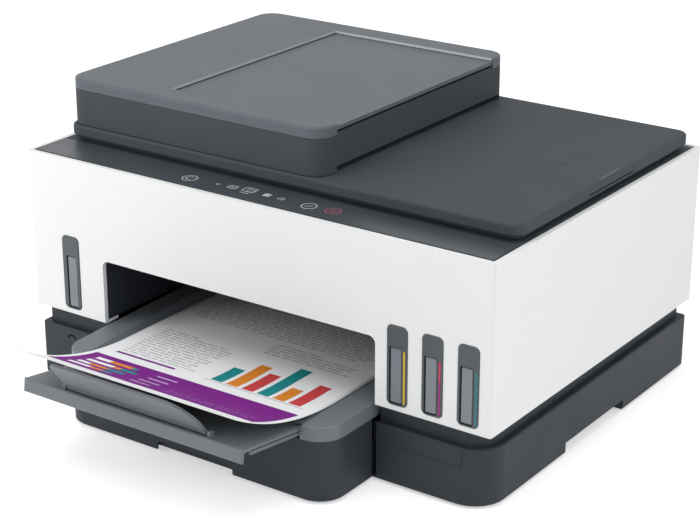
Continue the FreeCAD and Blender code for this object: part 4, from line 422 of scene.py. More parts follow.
def page_surface(across, along, lift=0.0):
    """Drawing points of the page. across runs from the left edge, along from the lead edge, in mm.

    Beyond CURL_LENGTH the page is flat. Before it, the turned angle is the distance left to the
    flat part over CURL_RADIUS, y goes out by radius times sine and z up by radius times one minus
    cosine. lift moves a point along the paper's upper normal, and so does the cockle, which is
    COCKLE times a sine wave across times a sine wave along.
    """
    across, along = np.broadcast_arrays(np.asarray(across, float), np.asarray(along, float))
    angle = np.maximum(CURL_LENGTH - along, 0) / CURL_RADIUS
    flat = np.maximum(along - CURL_LENGTH, 0)
    rise = lift + COCKLE * np.sin(across / COCKLE_ACROSS) * np.sin(along / COCKLE_ALONG)
    y = CURL_START + flat - CURL_RADIUS * np.sin(angle) + rise * np.sin(angle)
    z = FLAT_HEIGHT + CURL_RADIUS * (1 - np.cos(angle)) + rise * np.cos(angle)
    return on_drawing(PAGE_LEFT + across, y, z)


def grid_mesh(name, surfaces, finishes, closed=False):
    """One mesh from several grids of points, each shaped (rows, columns, 3), with a finish number each.

    A face joins points (i, j), (i, j+1), (i+1, j+1) and (i+1, j); all are found by index arithmetic.
    """
    points, faces, picks, start = [], [], [], 0
    for surface, pick in surfaces:
        rows, columns = surface.shape[:2]
        index = start + np.arange(rows * columns).reshape(rows, columns)
        if closed:
            index = np.concatenate([index, index[:, :1]], axis=1)
        quads = np.stack([index[:-1, :-1], index[:-1, 1:], index[1:, 1:], index[1:, :-1]], axis=-1)
        points.append(surface.reshape(-1, 3))
        faces.append(quads.reshape(-1, 4))
        picks.append(np.full(len(faces[-1]), pick))
        start += rows * columns
    mesh = bpy.data.meshes.new(name)
    mesh.from_pydata(np.concatenate(points).tolist(), [], np.concatenate(faces).tolist())
    mesh.polygons.foreach_set("material_index", np.concatenate(picks).astype(np.int32))
    for finish in finishes:
        mesh.materials.append(finish)
    mesh.update()
    piece = bpy.data.objects.new(name, mesh)
    bpy.context.scene.collection.objects.link(piece)
    return piece


print("page profile: flat", PAGE_LENGTH - CURL_LENGTH, "mm, curled", round(CURL_LENGTH, 1), "mm")

# %% [markdown]
# Office paper is pressed wood fibre. It is bright because of its whitener, fully matt, and close up
# it has a faint cloudy look where fibres bunch. The cloud is drawn at 2 mm, about the real size.

# %% Paper and printed ink
FIBRE_MM = 2.0


def matt_paper(name, colour, roughness=0.9, fibre=0.03):
    """Fibre clouds FIBRE_MM across vary tone by fibre and lift the surface by 0.01 mm."""
    finish, tree, place = new_finish(name)
    cloud = add_node(tree, "TexNoise", {"Vector": place, "Scale": 1 / (FIBRE_MM * MM), "Detail": 4.0})
    low, high = shades(colour, fibre)
    tone = add_node(tree, "Mix", {0: cloud, 6: low, 7: high}, data_type="RGBA")
    bump = add_node(tree, "Bump", {"Height": cloud, "Strength": 0.3, "Distance": 0.01 * MM})
    shader = add_node(tree, "BsdfPrincipled",
                      {"Base Color": tone, "Roughness": roughness, "Normal": bump,
                       "Specular IOR Level": 0.3})
    add_node(tree, "OutputMaterial", {"Surface": shader})
    return finish


# office paper: bright, matt and faintly cloudy
page_white = matt_paper("uncoated_office_paper", "#F4F5F6")
# ink soaked into paper: strong but still matt, with the fibres showing a little more
# ink, colour, roughness and fibre
ink_table = [("violet", "#7A1A86", 0.7, 0.10), ("teal", "#1C8C8F", 0.7, 0.10),
             ("orange", "#E38A2A", 0.7, 0.10), ("red", "#CF4648", 0.7, 0.10),
             ("grey", "#B9BCC0", 0.8, 0.06), ("lilac", "#C9B2D6", 0.7, 0.08)]
print_inks = [matt_paper(f"printed_{ink}_ink", *recipe) for ink, *recipe in ink_table]
print_inks.append(matt_paper("paper_left_bare_in_print", "#F4F5F6"))
print("paper and", len(print_inks), "printed inks")

# %% [markdown]
# The sheet was cut to A4. A grid with a point every 5 mm across and every 3 mm along is fine enough
# for the curl, and Solidify gives it the thickness of the paper, half to either side.

# %% The page itself
PAPER_THICKNESS = 0.12
across = np.linspace(0, PAGE_WIDTH, 43)
along = np.linspace(0, PAGE_LENGTH, 100)
page = grid_mesh("printed_page", [(page_surface(*np.meshgrid(across, along)), 0)], [page_white])
thickness = page.modifiers.new("paper thickness", "SOLIDIFY")
thickness.thickness = PAPER_THICKNESS * MM
thickness.offset = 0.0
page.data.polygons.foreach_set("use_smooth", np.ones(len(page.data.polygons), bool))
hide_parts("printed_sheet")
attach(page, "sheet")
print("page", across.size, "by", along.size, "points")

# %% [markdown]
# ## What is printed on the page
# The page carries an everyday office print: a violet panel, a column chart, and paragraphs of small
# type that no one could read from here. Ink has hardly any thickness, so each patch is a little
# grid that follows the page's surface about a tenth of a millimetre above it, clear of the paper's
# own half thickness. Type is drawn as word-long dashes, because at 0.8 mm to a pixel letters would
# only be noise.

# %% Patches of ink
INK_LIFT, OVER_LIFT = 0.09, 0.13
WORD_MIN, WORD_MAX, WORD_GAP, LAST_ROW = 5.0, 15.0, 2.0, 0.55


def ink_patch(left, width, near, depth, lift=INK_LIFT):
    """A grid on the page from across = left to left + width and along = near to near + depth.

    Its points are about 12 mm apart across and 6 mm apart along, at least two each way.
    """
    ups = np.linspace(near, near + depth, max(int(depth // 6), 1) + 1)
    overs = np.linspace(left, left + width, max(int(width // 12), 1) + 1)
    return page_surface(*np.meshgrid(overs, ups), lift)


def paragraph(left, width, near, lines, dice, pitch=4.4, height=1.5):
    """Rows of word dashes. Word lengths are drawn evenly between WORD_MIN and WORD_MAX, WORD_GAP apart.

    Words that would pass the width are left out, and the last row stops at LAST_ROW of it.
    """
    words = []
    for row in range(lines):
        lengths = dice.uniform(WORD_MIN, WORD_MAX, 24)
        starts = np.concatenate([[0], np.cumsum(lengths + WORD_GAP)[:-1]])
        limit = width * (LAST_ROW if row == lines - 1 else 1.0)
        keep = starts + lengths <= limit
        words += [ink_patch(left + start, length, near + row * pitch, height)
                  for start, length in zip(starts[keep], lengths[keep])]
    return words


print("patches", INK_LIFT, "mm above the paper, or", OVER_LIFT, "over other ink")

# %% [markdown]
# The layout is set out from the lead edge back: the panel with a chart of bars and some pale type,
# a heading over a column of type, a chart of columns on a base line, and two more paragraphs. The
# dice are seeded, so every run sets the same words.

# %% The layout
VIOLET, TEAL, ORANGE, RED, GREY, LILAC, BARE = range(7)
BAR_LEFT, BAR_NEAR, BAR_PITCH, BAR_DEPTH = 16, 64, 11, 6
BAR_LENGTHS = [(22, 12, 9), (12, 18, 17), (27, 7, 16), (15, 22, 5)]
COLUMN_LEFT, COLUMN_NEAR, COLUMN_PITCH, COLUMN_WIDTH = 108, 128, 15, 11
COLUMN_HEIGHTS = [30, 46, 37, 58, 26, 42]
dice = np.random.default_rng(11)
inked = [(ink_patch(left=5, width=200, near=54, depth=58), VIOLET)]
inked += [(word, LILAC) for word in
          paragraph(left=112, width=84, near=66, lines=7, dice=dice, pitch=5.6, height=2.6)]
for row, lengths in enumerate(BAR_LENGTHS):
    near = BAR_NEAR + BAR_PITCH * row
    starts = np.cumsum([BAR_LEFT, *lengths])
    inked += [(ink_patch(start, length, near, BAR_DEPTH, OVER_LIFT), ink)
              for start, length, ink in zip(starts, lengths, (BARE, ORANGE, TEAL))]
    inked += [(ink_patch(left=78, width=20, near=near + 2, depth=2.4, lift=OVER_LIFT), LILAC)]
inked += [(ink_patch(left=14, width=60, near=124, depth=3.4), VIOLET)]
inked += [(word, GREY) for word in paragraph(left=14, width=78, near=132, lines=13, dice=dice)]
inked += [(ink_patch(COLUMN_LEFT + COLUMN_PITCH * i, COLUMN_WIDTH, COLUMN_NEAR, height),
           (TEAL, ORANGE, RED)[i % 3]) for i, height in enumerate(COLUMN_HEIGHTS)]
inked += [(ink_patch(left=104, width=94, near=125, depth=1.2), GREY)]
inked += [(word, GREY) for word in paragraph(left=108, width=84, near=194, lines=5, dice=dice)]
inked += [(word, GREY) for word in paragraph(left=14, width=180, near=222, lines=14, dice=dice)]
page_print = grid_mesh("page_print", inked, print_inks)
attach(page_print, "sheet")
print(len(inked), "patches of ink,", len(page_print.data.polygons), "faces")

# %% [markdown]
# ## Marks on the touch strip and the base
# The touch strip has no keys, only symbols screen-printed under its hard coat: rings, little pages
# and bars. Each is a ribbon, which is a line moved half its width to either side. Ribbons are laid
# on the strip as flat grids, a hair's breadth proud of it, and the same function draws the painted
# shade in the plate's outline groove on the base.

# %% Ribbons
def ribbon(path, width, closed=False):
    """Both edges of a line: each point moved by half the width along the line's left and right normal."""
    path = np.asarray(path, float)
    if closed:
        path = np.concatenate([path, path[:1]])
        steps = np.concatenate([path[1:2] - path[-2:-1], path[2:] - path[:-2], path[1:2] - path[-2:-1]])
    else:
        steps = np.gradient(path, axis=0)
    steps = steps / np.linalg.norm(steps, axis=1, keepdims=True)
    left = np.stack([-steps[:, 1], steps[:, 0]], axis=1) * width / 2
    return np.stack([path - left, path + left], axis=1)


def ring(x, y, radius, start=0.0, stop=360.0):
    """Points on a circle from one angle to another, in degrees, about 8 degrees apart.

    x is the centre plus radius times the angle's cosine, y the centre plus radius times its sine.
    """
    turn = np.radians(np.linspace(start, stop, max(int(abs(stop - start) // 8), 2) + 1))
    return np.stack([x + radius * np.cos(turn), y + radius * np.sin(turn)], axis=1)


def round_box(x, y, width, height, radius):
    """A rectangle about x, y whose four corners are quarter circles of that radius."""
    over, up = width / 2 - radius, height / 2 - radius
    corners = [(over, up, 0), (-over, up, 90), (-over, -up, 180), (over, -up, 270)]
    return np.concatenate([ring(x + a, y + b, radius, angle, angle + 90) for a, b, angle in corners])


def straight(x0, y0, x1, y1):
    """Three points on a straight line."""
    return np.linspace([x0, y0], [x1, y1], 3)


def disc(x, y, radius):
    """A point and the rim round it, as a grid of two rows that share the same 25 angles."""
    turn = np.radians(np.linspace(0, 360, 25))
    share = np.array([0.0, 1.0])[:, None]
    return np.stack([x + radius * share * np.cos(turn), y + radius * share * np.sin(turn)], axis=-1)


def facing(grid, axis, sense):
    """The grid, its columns turned round if its normal, column step cross row step, looks the wrong way."""
    edge, side = grid[1, 0] - grid[0, 0], grid[1, 1] - grid[1, 0]
    return grid if sense * np.cross(side, edge)[axis] >= 0 else grid[:, ::-1]


def laid_on_top(flat, height):
    """A flat grid of drawing x, y put at one height, facing up."""
    return facing(on_drawing(flat[..., 0], flat[..., 1], height), axis=2, sense=1)


def laid_on_front(flat, depth):
    """A flat grid of drawing x, z put at one y, facing forward."""
    return facing(on_drawing(flat[..., 0], depth, flat[..., 1]), axis=1, sense=-1)


print("ribbon, ring, rounded box, line and disc are ready")

# %% [markdown]
# The icons are listed from left to right in drawing millimetres, stroke by stroke. Screen ink is only
# some hundredths of a millimetre thick, so a modelled relief would not show, and flat ribbons do.

# %% The touch icons
# screen-printed ink under a hard coat: even, slightly shiny, pale enough to read on dark grey
icon_white = moulded_plastic("screen_printed_pale_ink", "#C4C8CB", 0.4, grain_mm=0.8, relief_mm=0.002)
icon_rose = moulded_plastic("screen_printed_rose_ink", "#B2586F", 0.4, grain_mm=0.8, relief_mm=0.002)
PROUD = 0.05
PANEL_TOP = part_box("control_panel")[1].z / MM + PROUD
LINE = 0.9
FINE = LINE * 0.7
# each stroke with its ink: 0 is pale, 1 is rose
strokes = [
    # ring with an open arc and a bar
    (ribbon(ring(-67.3, 20.0, 6.2), LINE), 0),
    (ribbon(ring(-67.3, 20.0, 3.2, 40, 320), LINE), 0),
    (ribbon(straight(-66.8, 22.6, -63.6, 22.6), LINE), 0),
    # plus sign
    (ribbon(straight(-42.2, 21.4, -38.2, 21.4), LINE), 0),
    (ribbon(straight(-40.2, 19.6, -40.2, 23.2), LINE), 0),
    # small page with two lines
    (ribbon(round_box(-26.2, 22.5, 7.5, 6.0, 1.0), LINE, True), 0),
    (ribbon(straight(-28.4, 21.6, -24.0, 21.6), FINE), 0),
    (ribbon(straight(-28.4, 23.4, -24.0, 23.4), FINE), 0),
    # large page with a small one in it, over a bar
    (ribbon(round_box(-11.0, 24.5, 11.0, 8.4, 1.4), LINE, True), 0),
    (ribbon(round_box(-9.4, 23.3, 6.0, 4.4, 0.8), FINE, True), 0),
    (ribbon(straight(-14.6, 26.4, -10.2, 26.4), FINE), 0),
    (ribbon(straight(-15.2, 16.8, -6.8, 16.8), LINE), 0),
    # filled block, then a bar in an arc
    (ribbon(straight(3.8, 22.8, 9.8, 22.8), 6.0), 0),
    (ribbon(straight(19.4, 21.6, 22.8, 21.6), LINE), 0),
    (ribbon(ring(21.1, 21.6, 2.6, -60, 240), FINE), 0),
    # ring with a slanted bar
    (ribbon(ring(48.0, 21.1, 6.0), LINE), 0),
    (ribbon(straight(45.4, 19.0, 50.6, 23.2), LINE), 0),
    # rose ring with a cross
    (ribbon(ring(69.2, 22.5, 6.0), LINE), 1),
    (ribbon(straight(66.6, 20.4, 71.8, 24.6), LINE), 1),
    (ribbon(straight(66.6, 24.6, 71.8, 20.4), LINE), 1),
]
icons = grid_mesh("touch_icons", [(laid_on_top(flat, PANEL_TOP), pick) for flat, pick in strokes],
                  [icon_white, icon_rose])
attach(icons, "scanner")
print(len(strokes), "strokes on the touch strip")

# %% [markdown]
# The base carries two moulded grooves: the outline of a plate on the right and a small arch for a
# fingertip on the left. At this scale they are only lines, so the shade in them is painted as dark
# ribbons on the front face.

# %% Painted shade in the grooves on the base
HOUSING_FRONT = (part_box("lower_housing")[0].y - FRONT) / MM - PROUD
GROOVE_PROUD = 0.1
marks = [
    (ribbon(round_box(160.5, 41.8, 77.0, 16.5, 1.5), 0.6, True), 0),
    (ribbon(ring(-187.5, 39.0, 4.2, 15, 165), 1.4), 1),
]
# painted shade in a shallow groove: the plate's outline, drawn a little darker than the face beside it
outline_groove_shade = moulded_plastic("painted_shade_of_outline_groove", "#1E2225", 0.6, grain_mm=0.9, gloss=0.4)
# painted shade in a deep groove: near black for a slit that light doesn't leave again, as in the arch
deep_groove_shade = moulded_plastic("painted_shade_of_deep_groove", "#08090A", 0.8, grain_mm=0.9, gloss=0.05)
base_groove_shades = grid_mesh("base_groove_shades", [(laid_on_front(flat, HOUSING_FRONT - GROOVE_PROUD), pick)
                                      for flat, pick in marks], [outline_groove_shade, deep_groove_shade])
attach(base_groove_shades, "printer")
print("base marks at drawing y", round(HOUSING_FRONT - GROOVE_PROUD, 2))

# %% [markdown]
# ## Colour strips beside the ink windows
# Each bezel on the right has a slim raised strip in the colour of its ink, so that the right bottle
# goes into the right tank. The middle strip is in two shades. A half-round profile carried straight
# up gives a strip, with its two ends drawn in.

# %% The colour strips
def half_round(x, low, high, radius, face):
    """A half circle of that radius in x and y, carried from z = low to high and shrunk at both ends.

    x is the middle plus radius times cosine, y the face minus radius times sine. At each end the
    radius falls to seven tenths and then to nothing.
    """
    turn = np.radians(np.linspace(0, 180, 9))
    rise = np.concatenate([[low, low, low + radius], np.linspace(low + radius, high - radius, 8)[1:],
                           [high, high]])
    share = np.ones(rise.size)
    share[[0, -1]] = 0.0
    share[[1, -2]] = 0.7
    angle, up = np.meshgrid(turn, rise)
    reach = radius * share[:, None]
    return on_drawing(x + reach * np.cos(angle), face - reach * np.sin(angle), up)


# coloured ABS strips: strong, even dye with a soft shine
dyes = {"yellow": "#E3BE2E", "magenta": "#A3207C", "cyan": "#1C8088", "rose": "#D8345E"}
strip_dyes = [moulded_plastic(f"dyed_{dye}_abs_strip", colour, 0.4, grain_mm=0.8, relief_mm=0.004)
              for dye, colour in dyes.items()]
BEZEL_FACE = (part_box("bezel_yellow")[0].y - FRONT) / MM
STRIP_RADIUS, STRIP_SUNK = 0.75, 0.1
STRIP_LOW, STRIP_HIGH, SHADE_CHANGE = 72.5, 115.0, 99.5
# dye number, x, lower and upper end
strip_table = [(0, 149.7, STRIP_LOW, STRIP_HIGH), (1, 180.7, STRIP_LOW, SHADE_CHANGE),
               (3, 180.7, SHADE_CHANGE, STRIP_HIGH), (2, 211.9, STRIP_LOW, STRIP_HIGH)]
strips = grid_mesh("ink_colour_strips",
                   [(half_round(x, low, high, STRIP_RADIUS, BEZEL_FACE + STRIP_SUNK), dye)
                    for dye, x, low, high in strip_table], strip_dyes)
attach(strips, "printer")
print("strips on bezel face", round(BEZEL_FACE, 2))

# %% [markdown]
# ## Small things on the other sides
# A printer is looked at from the back when it is plugged in, and from above when a page is laid on
# the glass. So the rear buttons get their symbols, the data ports their contact tongues, the ink
# caps a dot of colour, the scan bar its lamp and the scan bed its marks. Each is placed from the box
# of the solid that carries it, and rides with that solid.

# %% Slabs, back marks and boxes
def slab(low, high):
    """A closed box between two drawing corners: its four upright edges, drawn in to a point at both ends."""
    low, high = np.asarray(low, float), np.asarray(high, float)
    x = np.array([low[0], high[0], high[0], low[0]])
    y = np.array([low[1], low[1], high[1], high[1]])
    middle = (low + high) / 2
    bottom, top = [on_drawing(np.full(4, middle[0]), middle[1], z) for z in (low[2], high[2])]
    return np.stack([bottom, on_drawing(x, y, low[2]), on_drawing(x, y, high[2]), top])


def laid_on_back(flat, depth):
    """A flat grid of drawing x, z put at one y, facing backward."""
    return laid_on_front(flat, depth)[:, ::-1]


def drawing_box(node):
    """The solid's box as two drawing corners in millimetres."""
    return [np.array([c.x, c.y - FRONT, c.z]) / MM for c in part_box(node)]


print("slab and back marks are ready")

# %% [markdown]
# The two rear buttons carry the usual symbols: an open ring with a bar, and three arcs over a dot.
# They are printed in the same pale ink as the icons.

# %% Rear buttons
SYMBOL_LINE, SYMBOL_PROUD = 0.7, 0.01


def power_symbol(x, z):
    """A ring about x, z that is open at the top, with a bar in the opening."""
    return [ribbon(ring(x, z, 2.6, 125, 415), SYMBOL_LINE),
            ribbon(straight(x, z + 0.6, x, z + 3.6), SYMBOL_LINE)]


def wireless_symbol(x, z):
    """Three quarter circles about a dot that lies below x, z."""
    dot = z - 2.4
    arcs = [ribbon(ring(x, dot, radius, 45, 135), SYMBOL_LINE) for radius in (2.2, 4.0, 5.6)]
    return arcs + [disc(x, dot, 0.7)]


symbols = {"power_button": power_symbol, "wireless_button": wireless_symbol}
for name, draw in symbols.items():
    low, high = drawing_box(name)
    middle = (low + high) / 2
    symbol = grid_mesh(name + "_symbol", [(laid_on_back(flat, high[1] + SYMBOL_PROUD), 0)
                                          for flat in draw(middle[0], middle[2])], [icon_white])
    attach(symbol, name)
print(len(symbols), "button symbols")

# %% [markdown]
# Inside each data port stands a black tongue with four flat contacts on its underside. Both are
# slabs. The contacts hang a fiftieth of a millimetre below the tongue, so that no faces coincide.

# %% Data ports
PORT_INSET = 11.5
TONGUE_HALF, TONGUE_LOW, TONGUE_HIGH = 6.0, 34.0, 35.8
CONTACT_START, CONTACT_END, CONTACT_PITCH = -5.2, -3.8, 3.0
CONTACT_LOW, CONTACT_HIGH = 33.7, 33.98
# distances from the front and back of the ports' box
TONGUE_FRONT, TONGUE_BACK, CONTACT_FRONT, CONTACT_BACK = 8.1, 5, 9, 5.4
# contacts: gold flash over nickel, bright and warm inside the dark port
gold_flash = rolled_steel("gold_flashed_contacts", "#D8B45A", 0.3, 0.8)
low, high = drawing_box("data_ports")
tongues = []
for middle in (low[0] + PORT_INSET, high[0] - PORT_INSET):
    tongues.append((slab((middle - TONGUE_HALF, low[1] + TONGUE_FRONT, TONGUE_LOW),
                         (middle + TONGUE_HALF, high[1] - TONGUE_BACK, TONGUE_HIGH)), 0))
    for shift in CONTACT_PITCH * np.arange(4):
        tongues.append((slab((middle + CONTACT_START + shift, low[1] + CONTACT_FRONT, CONTACT_LOW),
                             (middle + CONTACT_END + shift, high[1] - CONTACT_BACK, CONTACT_HIGH)), 1))
port_tongues = grid_mesh("port_tongues", tongues, [inner_black, gold_flash], closed=True)
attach(port_tongues, "printer")
print(len(tongues), "tongues and contacts")

# %% [markdown]
# Each ink cap wears a dot in the colour of its tank, towards the front, where it is seen when the
# scanner is lifted. The dyes of the strips serve again, and the rubber's black for the black ink.

# %% Colour dots on the ink caps
DOT_RADIUS, DOT_FORWARD = 4.2, 4.0
dot_inks = dict(zip(("yellow", "magenta", "cyan"), strip_dyes))
dot_inks["black"] = rubber
for ink, finish in dot_inks.items():
    low, high = drawing_box("tank_cap_" + ink)
    middle = (low + high) / 2
    round_dot = disc(middle[0], middle[1] - DOT_FORWARD, DOT_RADIUS)
    dot = grid_mesh(f"cap_dot_{ink}", [(laid_on_top(round_dot, high[2] + PROUD), 0)], [finish])
    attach(dot, "tank_cap_" + ink)
print("dots on", len(dot_inks), "caps")

# %% [markdown]
# The scan bar carries a long milky lamp and, beside it, the dark slot of its lens. Both lie under
# the glass and are seen only from above, so two flat ribbons on the bar stand for them.

# %% Scan bar lamp
LAMP_INSET = 6
# lamp in the scan bar: a milky light guide, the palest thing under the glass
light_guide = moulded_plastic("milky_light_guide", "#E4EAE6", 0.3, grain_mm=2.0, relief_mm=0.003, drift=0.02)
low, high = drawing_box("scan_bar")
middle = (low[0] + high[0]) / 2
# shift from the bar's middle, width and finish number of the lamp and of the lens slot
bar_lines = [(-3.2, 2.2, 0), (1.6, 0.8, 1)]
lamp_strip = grid_mesh("scan_bar_lamp", [
    (laid_on_top(ribbon(straight(middle + shift, low[1] + LAMP_INSET, middle + shift, high[1] - LAMP_INSET),
                        width), high[2] + PROUD), pick) for shift, width, pick in bar_lines
], [light_guide, inner_black])
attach(lamp_strip, "scan_bar")
print("lamp and slot on the scan bar,", round(high[1] - low[1] - 2 * LAMP_INSET, 1), "mm long")

# %% [markdown]
# On the frame of the glass, a corner mark shows where a page is laid, and ticks run along the edge.
# They are printed like the icons, so they are ribbons in the same pale ink.

# %% Marks on the scan bed
PANEL_THICKNESS = 0.7
MAIN_PANE_SHIFT = 44
TICK_LENGTH, TICK_WIDTH, TICK_PITCH, TICK_REACH = 3.0, 0.5, 15, 210
glass_low, glass_high = drawing_box("scan_glass")
# just inside the back left corner of the main pane, which lies right of a narrow one
corner_x, corner_y = glass_low[0] + MAIN_PANE_SHIFT + 1.5, glass_high[1] - 2.0
ticks = [ribbon(straight(corner_x - TICK_LENGTH, y, corner_x, y), TICK_WIDTH)
         for y in np.arange(corner_y - TICK_REACH, corner_y, TICK_PITCH)]
corner_mark = np.array([corner_x, corner_y]) + [[-9, 7], [-1.5, 7], [-1.5, -0.5]]
deck_marks = grid_mesh("scan_bed_marks", [(laid_on_top(flat, PANEL_TOP - PANEL_THICKNESS), 0)
                                          for flat in [ribbon(corner_mark, 1.0), *ticks]], [icon_white])
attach(deck_marks, "scanner")
print("a corner mark and", len(ticks), "ticks")

# %% [markdown]
# The feeder's flap lies in a shallow opening whose moulded edge is bevelled. The light that the
# bevel catches is painted on as a fine pale line: one strip between two parallel lines on three
# sides of the opening, the inner line two millimetres lower and so near the wall that the flap
# swings past it.

# %% Painted highlight on the bevel of the flap opening
BEVEL_LEAN, BEVEL_DROP, BEVEL_SUNK = 0.3, 2.0, 0.04
PIN_SEAT, FLAP_GAP = 3.0, 1.0
# painted highlight on the bevel: the same grey plastic, smoother and far paler than the flat beside it, for
# the light the rounded edge catches
bevel_highlight_paint = moulded_plastic("painted_highlight_on_flap_bevel", "#B2B6BB", 0.3, grain_mm=1.0, relief_mm=0.003)
flap_low, flap_high = drawing_box("feeder_flap")
# the flap's box takes in its two pins, which reach into the opening's front and back walls
left, front, back = flap_low[0] - FLAP_GAP, flap_low[1] + PIN_SEAT, flap_high[1] - PIN_SEAT
right, top = flap_high[0] - FLAP_GAP, drawing_box("feeder_cover")[1][2] - BEVEL_SUNK
outer = on_drawing([right, left, left, right], [front, front, back, back], top)
inner_left, inner_front, inner_back = left + BEVEL_LEAN, front + BEVEL_LEAN, back - BEVEL_LEAN
inner = on_drawing([right, inner_left, inner_left, right],
                   [inner_front, inner_front, inner_back, inner_back], top - BEVEL_DROP)
# this strip carries the painted highlight of the bevel
flap_highlight_strip = grid_mesh("flap_opening_painted_highlight", [(np.stack([outer, inner])[:, ::-1], 0)], [bevel_highlight_paint])
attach(flap_highlight_strip, "feeder_cover")
print("flap opening:", round(left, 2), round(front, 2), round(back, 2), round(top, 2))

# %% [markdown]
# The sliding document stop has a low rib on top for a finger, and a finger groove in its side. The
# rib is a half circle carried along the stop, and its paler grey is a painted highlight. The groove
# is too narrow for its depth to be seen, so its shade is painted as a flat strip in near black.

# %% Painted highlight on the rib and painted shade in the groove of the document stop
RIB_RADIUS, RIB_INSET, RIB_SUNK, RIB_FRONT, RIB_BACK = 0.6, 3.2, 0.05, 21, 19
GROOVE_LOW, GROOVE_HIGH, GROOVE_OUT, GROOVE_END = 1.7, 2.7, 0.06, 1
# painted highlight on the rib: the lid's own grey made paler and a little smoother, for the light the rib
# catches
rib_highlight_paint = moulded_plastic("painted_highlight_on_stop_rib", "#565C62", 0.4, grain_mm=1.0, relief_mm=0.003)
stop_low, stop_high = drawing_box("document_stop")
turn, reach = np.meshgrid(np.radians(np.linspace(0, 180, 9)),
                          np.linspace(stop_low[1] + RIB_FRONT, stop_high[1] - RIB_BACK, 12))
bead = on_drawing(stop_high[0] - RIB_INSET - RIB_RADIUS * np.cos(turn), reach,
                  stop_high[2] - RIB_SUNK + RIB_RADIUS * np.sin(turn))
stop_rib = grid_mesh("document_stop_rib", [(bead[:, ::-1], 0)], [rib_highlight_paint])
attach(stop_rib, "document_stop")

# the near-black strip below is the painted shade of the groove in the stop's side
along_edge, up_edge = np.meshgrid([stop_low[1] + GROOVE_END, stop_high[1] - GROOVE_END],
                                  [stop_low[2] + GROOVE_LOW, stop_low[2] + GROOVE_HIGH])
stop_groove = grid_mesh("document_stop_groove", [
    (on_drawing(stop_high[0] + GROOVE_OUT, along_edge, up_edge), 0)], [deep_groove_shade])
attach(stop_groove, "document_stop")
print("rib and groove on a stop", round(stop_high[1] - stop_low[1], 1), "mm long")

# %% [markdown]
# The extension runs on a rail moulded under its edge. Where the rail meets the plate, a fine slit
# shows as a dark line on the right side, and its shade is painted as a near-black strip. It follows
# the extension's tilt, so the strip is straight and its height rises towards the front by the
# tangent of the tilt.

# %% Painted shade of the slit above the extension's rail
RAIL_TILT, RAIL_FRONT, RAIL_HEIGHT = np.radians(7.9), -114.3, 65.5
SLIT_LENGTH, SLIT_WIDTH = 62.0, 0.7
back_by, up_by = np.meshgrid([0.0, SLIT_LENGTH], [-SLIT_WIDTH / 2, SLIT_WIDTH / 2])
# near-black strip: the painted shade of the slit
rail_slit = grid_mesh("extension_rail_slit", [
    (on_drawing(drawing_box("extension")[1][0] + PROUD, RAIL_FRONT + back_by,
                RAIL_HEIGHT - back_by * np.tan(RAIL_TILT) + up_by), 0)], [deep_groove_shade])
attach(rail_slit, "extension")
print("rail slit", SLIT_LENGTH, "mm long")

# %% [markdown]
# ## Floor, light and camera
# A studio shot on white paper: the floor is a big pale sheet, and the light is soft from all round,
# a little stronger from the front left, where the white front is brightest. To the camera, and in
# reflections, the floor adds a faint glow of its own, so that lit paper just reaches white while
# the machine's shadow still falls on it. The glow adds no light to matt surfaces. The room behind is
# white in the same way: full strength where it is seen, and half strength where it lights.

# %% Floor and world
FLOOR_REACH, FLOOR_SUNK, FLOOR_CLOUD = 9000, 0.1, 400
FLOOR_GLOW = (0.48, 0.48, 0.48, 1)
ROOM_LIGHT = 0.5


def seen_rays(tree):
    """One for rays of the camera, of reflections and of glass, and nought for all others."""
    rays = add_node(tree, "LightPath").outputs
    seen = rays["Is Camera Ray"]
    for kind in ("Is Glossy Ray", "Is Transmission Ray"):
        seen = add_node(tree, "Math", {0: seen, 1: rays[kind]}, operation="MAXIMUM")
    return seen


def white_paper_floor():
    """Pale diffuse paper, plus a glow for the rays that see it."""
    finish, tree, place = new_finish("white_background_paper")
    cloud = add_node(tree, "TexNoise", {"Vector": place, "Scale": 1 / (FLOOR_CLOUD * MM)})
    tone = add_node(tree, "Mix", {0: cloud, 6: linear("#F3F3F3"), 7: linear("#F6F6F6")}, data_type="RGBA")
    glow = add_node(tree, "Emission", {"Strength": seen_rays(tree), "Color": FLOOR_GLOW})
    paper = add_node(tree, "BsdfDiffuse", {"Color": tone})
    both = add_node(tree, "AddShader", {0: paper, 1: glow})
    add_node(tree, "OutputMaterial", {"Surface": both})
    return finish


reach = np.linspace(-FLOOR_REACH, FLOOR_REACH, 7)
over, back = np.meshgrid(reach, reach)
floor = grid_mesh("floor", [(on_drawing(over, back, -FLOOR_SUNK), 0)], [white_paper_floor()])

world = bpy.data.worlds.new("soft_white_room")
bpy.context.scene.world = world
world.use_nodes = True
room = world.node_tree
room.nodes.clear()
level = add_node(room, "MapRange", {"Value": seen_rays(room), "To Min": ROOM_LIGHT, "To Max": 1.0})
sky = add_node(room, "Background", {"Color": (1, 1, 1, 1), "Strength": level})
add_node(room, "OutputWorld", {"Surface": sky})
print("floor", len(floor.data.polygons), "faces, white room")

# %% [markdown]
# Three square soft boxes do the rest: the key at the front left, a fill on the right so that the
# white side stays pale, and a large bank overhead. Their light leaves along the lamp's own minus z,
# so z is turned away from the point they aim at.

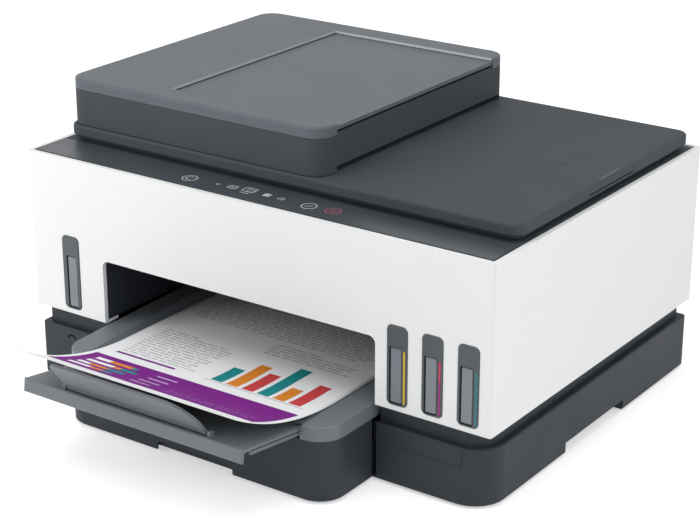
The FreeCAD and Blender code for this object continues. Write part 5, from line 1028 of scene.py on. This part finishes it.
# %% Soft boxes
def soft_box(name, place, aim, size, watts):
    """A square area lamp: z runs from aim to place, x is level, and y is z cross x."""
    lamp = bpy.data.lights.new(name, "AREA")
    lamp.shape, lamp.size, lamp.energy = "SQUARE", size, watts
    lit = bpy.data.objects.new(name, lamp)
    bpy.context.scene.collection.objects.link(lit)
    z = np.array(place, float) - np.array(aim, float)
    z = z / np.linalg.norm(z)
    x = np.cross((0, 0, 1), z)
    x = x / np.linalg.norm(x)
    turn = np.column_stack([x, np.cross(z, x), z])
    lit.matrix_world = Matrix.LocRotScale(place, Matrix(turn.tolist()).to_quaternion(), (1, 1, 1))
    return lit


lamps = [
    soft_box("key_front_left", place=(-0.9, -0.95, 0.55), aim=(-0.1, 0, 0.12), size=0.7, watts=6.6),
    soft_box("fill_right", place=(1.35, -0.15, 0.6), aim=(0.1, 0, 0.12), size=0.9, watts=3.9),
    soft_box("top_bank", place=(0.1, -0.35, 2.3), aim=(0, 0, 0.2), size=2.0, watts=19),
]
print(len(lamps), "soft boxes")

# %% [markdown]
# The camera stands 35 degrees round to the right of the front and looks down 21 degrees, from about
# one and a half metres. Its three axes come straight from those two angles: right is level, back
# points from the machine to the camera, and up is square to both.

# %% Camera
AZIMUTH, ELEVATION = np.radians(35.15), np.radians(21.33)
CAMERA_PLACE = on_drawing(850.5, -1065.1, 683.0)
SENSOR_MM, LENS_MM = 36.0, 97.77
back_axis = np.array([np.sin(AZIMUTH) * np.cos(ELEVATION), -np.cos(AZIMUTH) * np.cos(ELEVATION),
                      np.sin(ELEVATION)])
right_axis = np.array([np.cos(AZIMUTH), np.sin(AZIMUTH), 0.0])
up_axis = np.cross(back_axis, right_axis)
view = bpy.data.cameras.new("photograph_view")
view.sensor_width, view.lens = SENSOR_MM, LENS_MM
camera = bpy.data.objects.new("photograph_view", view)
bpy.context.scene.collection.objects.link(camera)
turned = Matrix(np.column_stack([right_axis, up_axis, back_axis]).tolist()).to_quaternion()
camera.matrix_world = Matrix.LocRotScale(CAMERA_PLACE, turned, (1, 1, 1))
bpy.context.scene.camera = camera
bpy.context.scene.view_settings.view_transform = "Standard"
print("camera at", [round(v, 3) for v in camera.location])
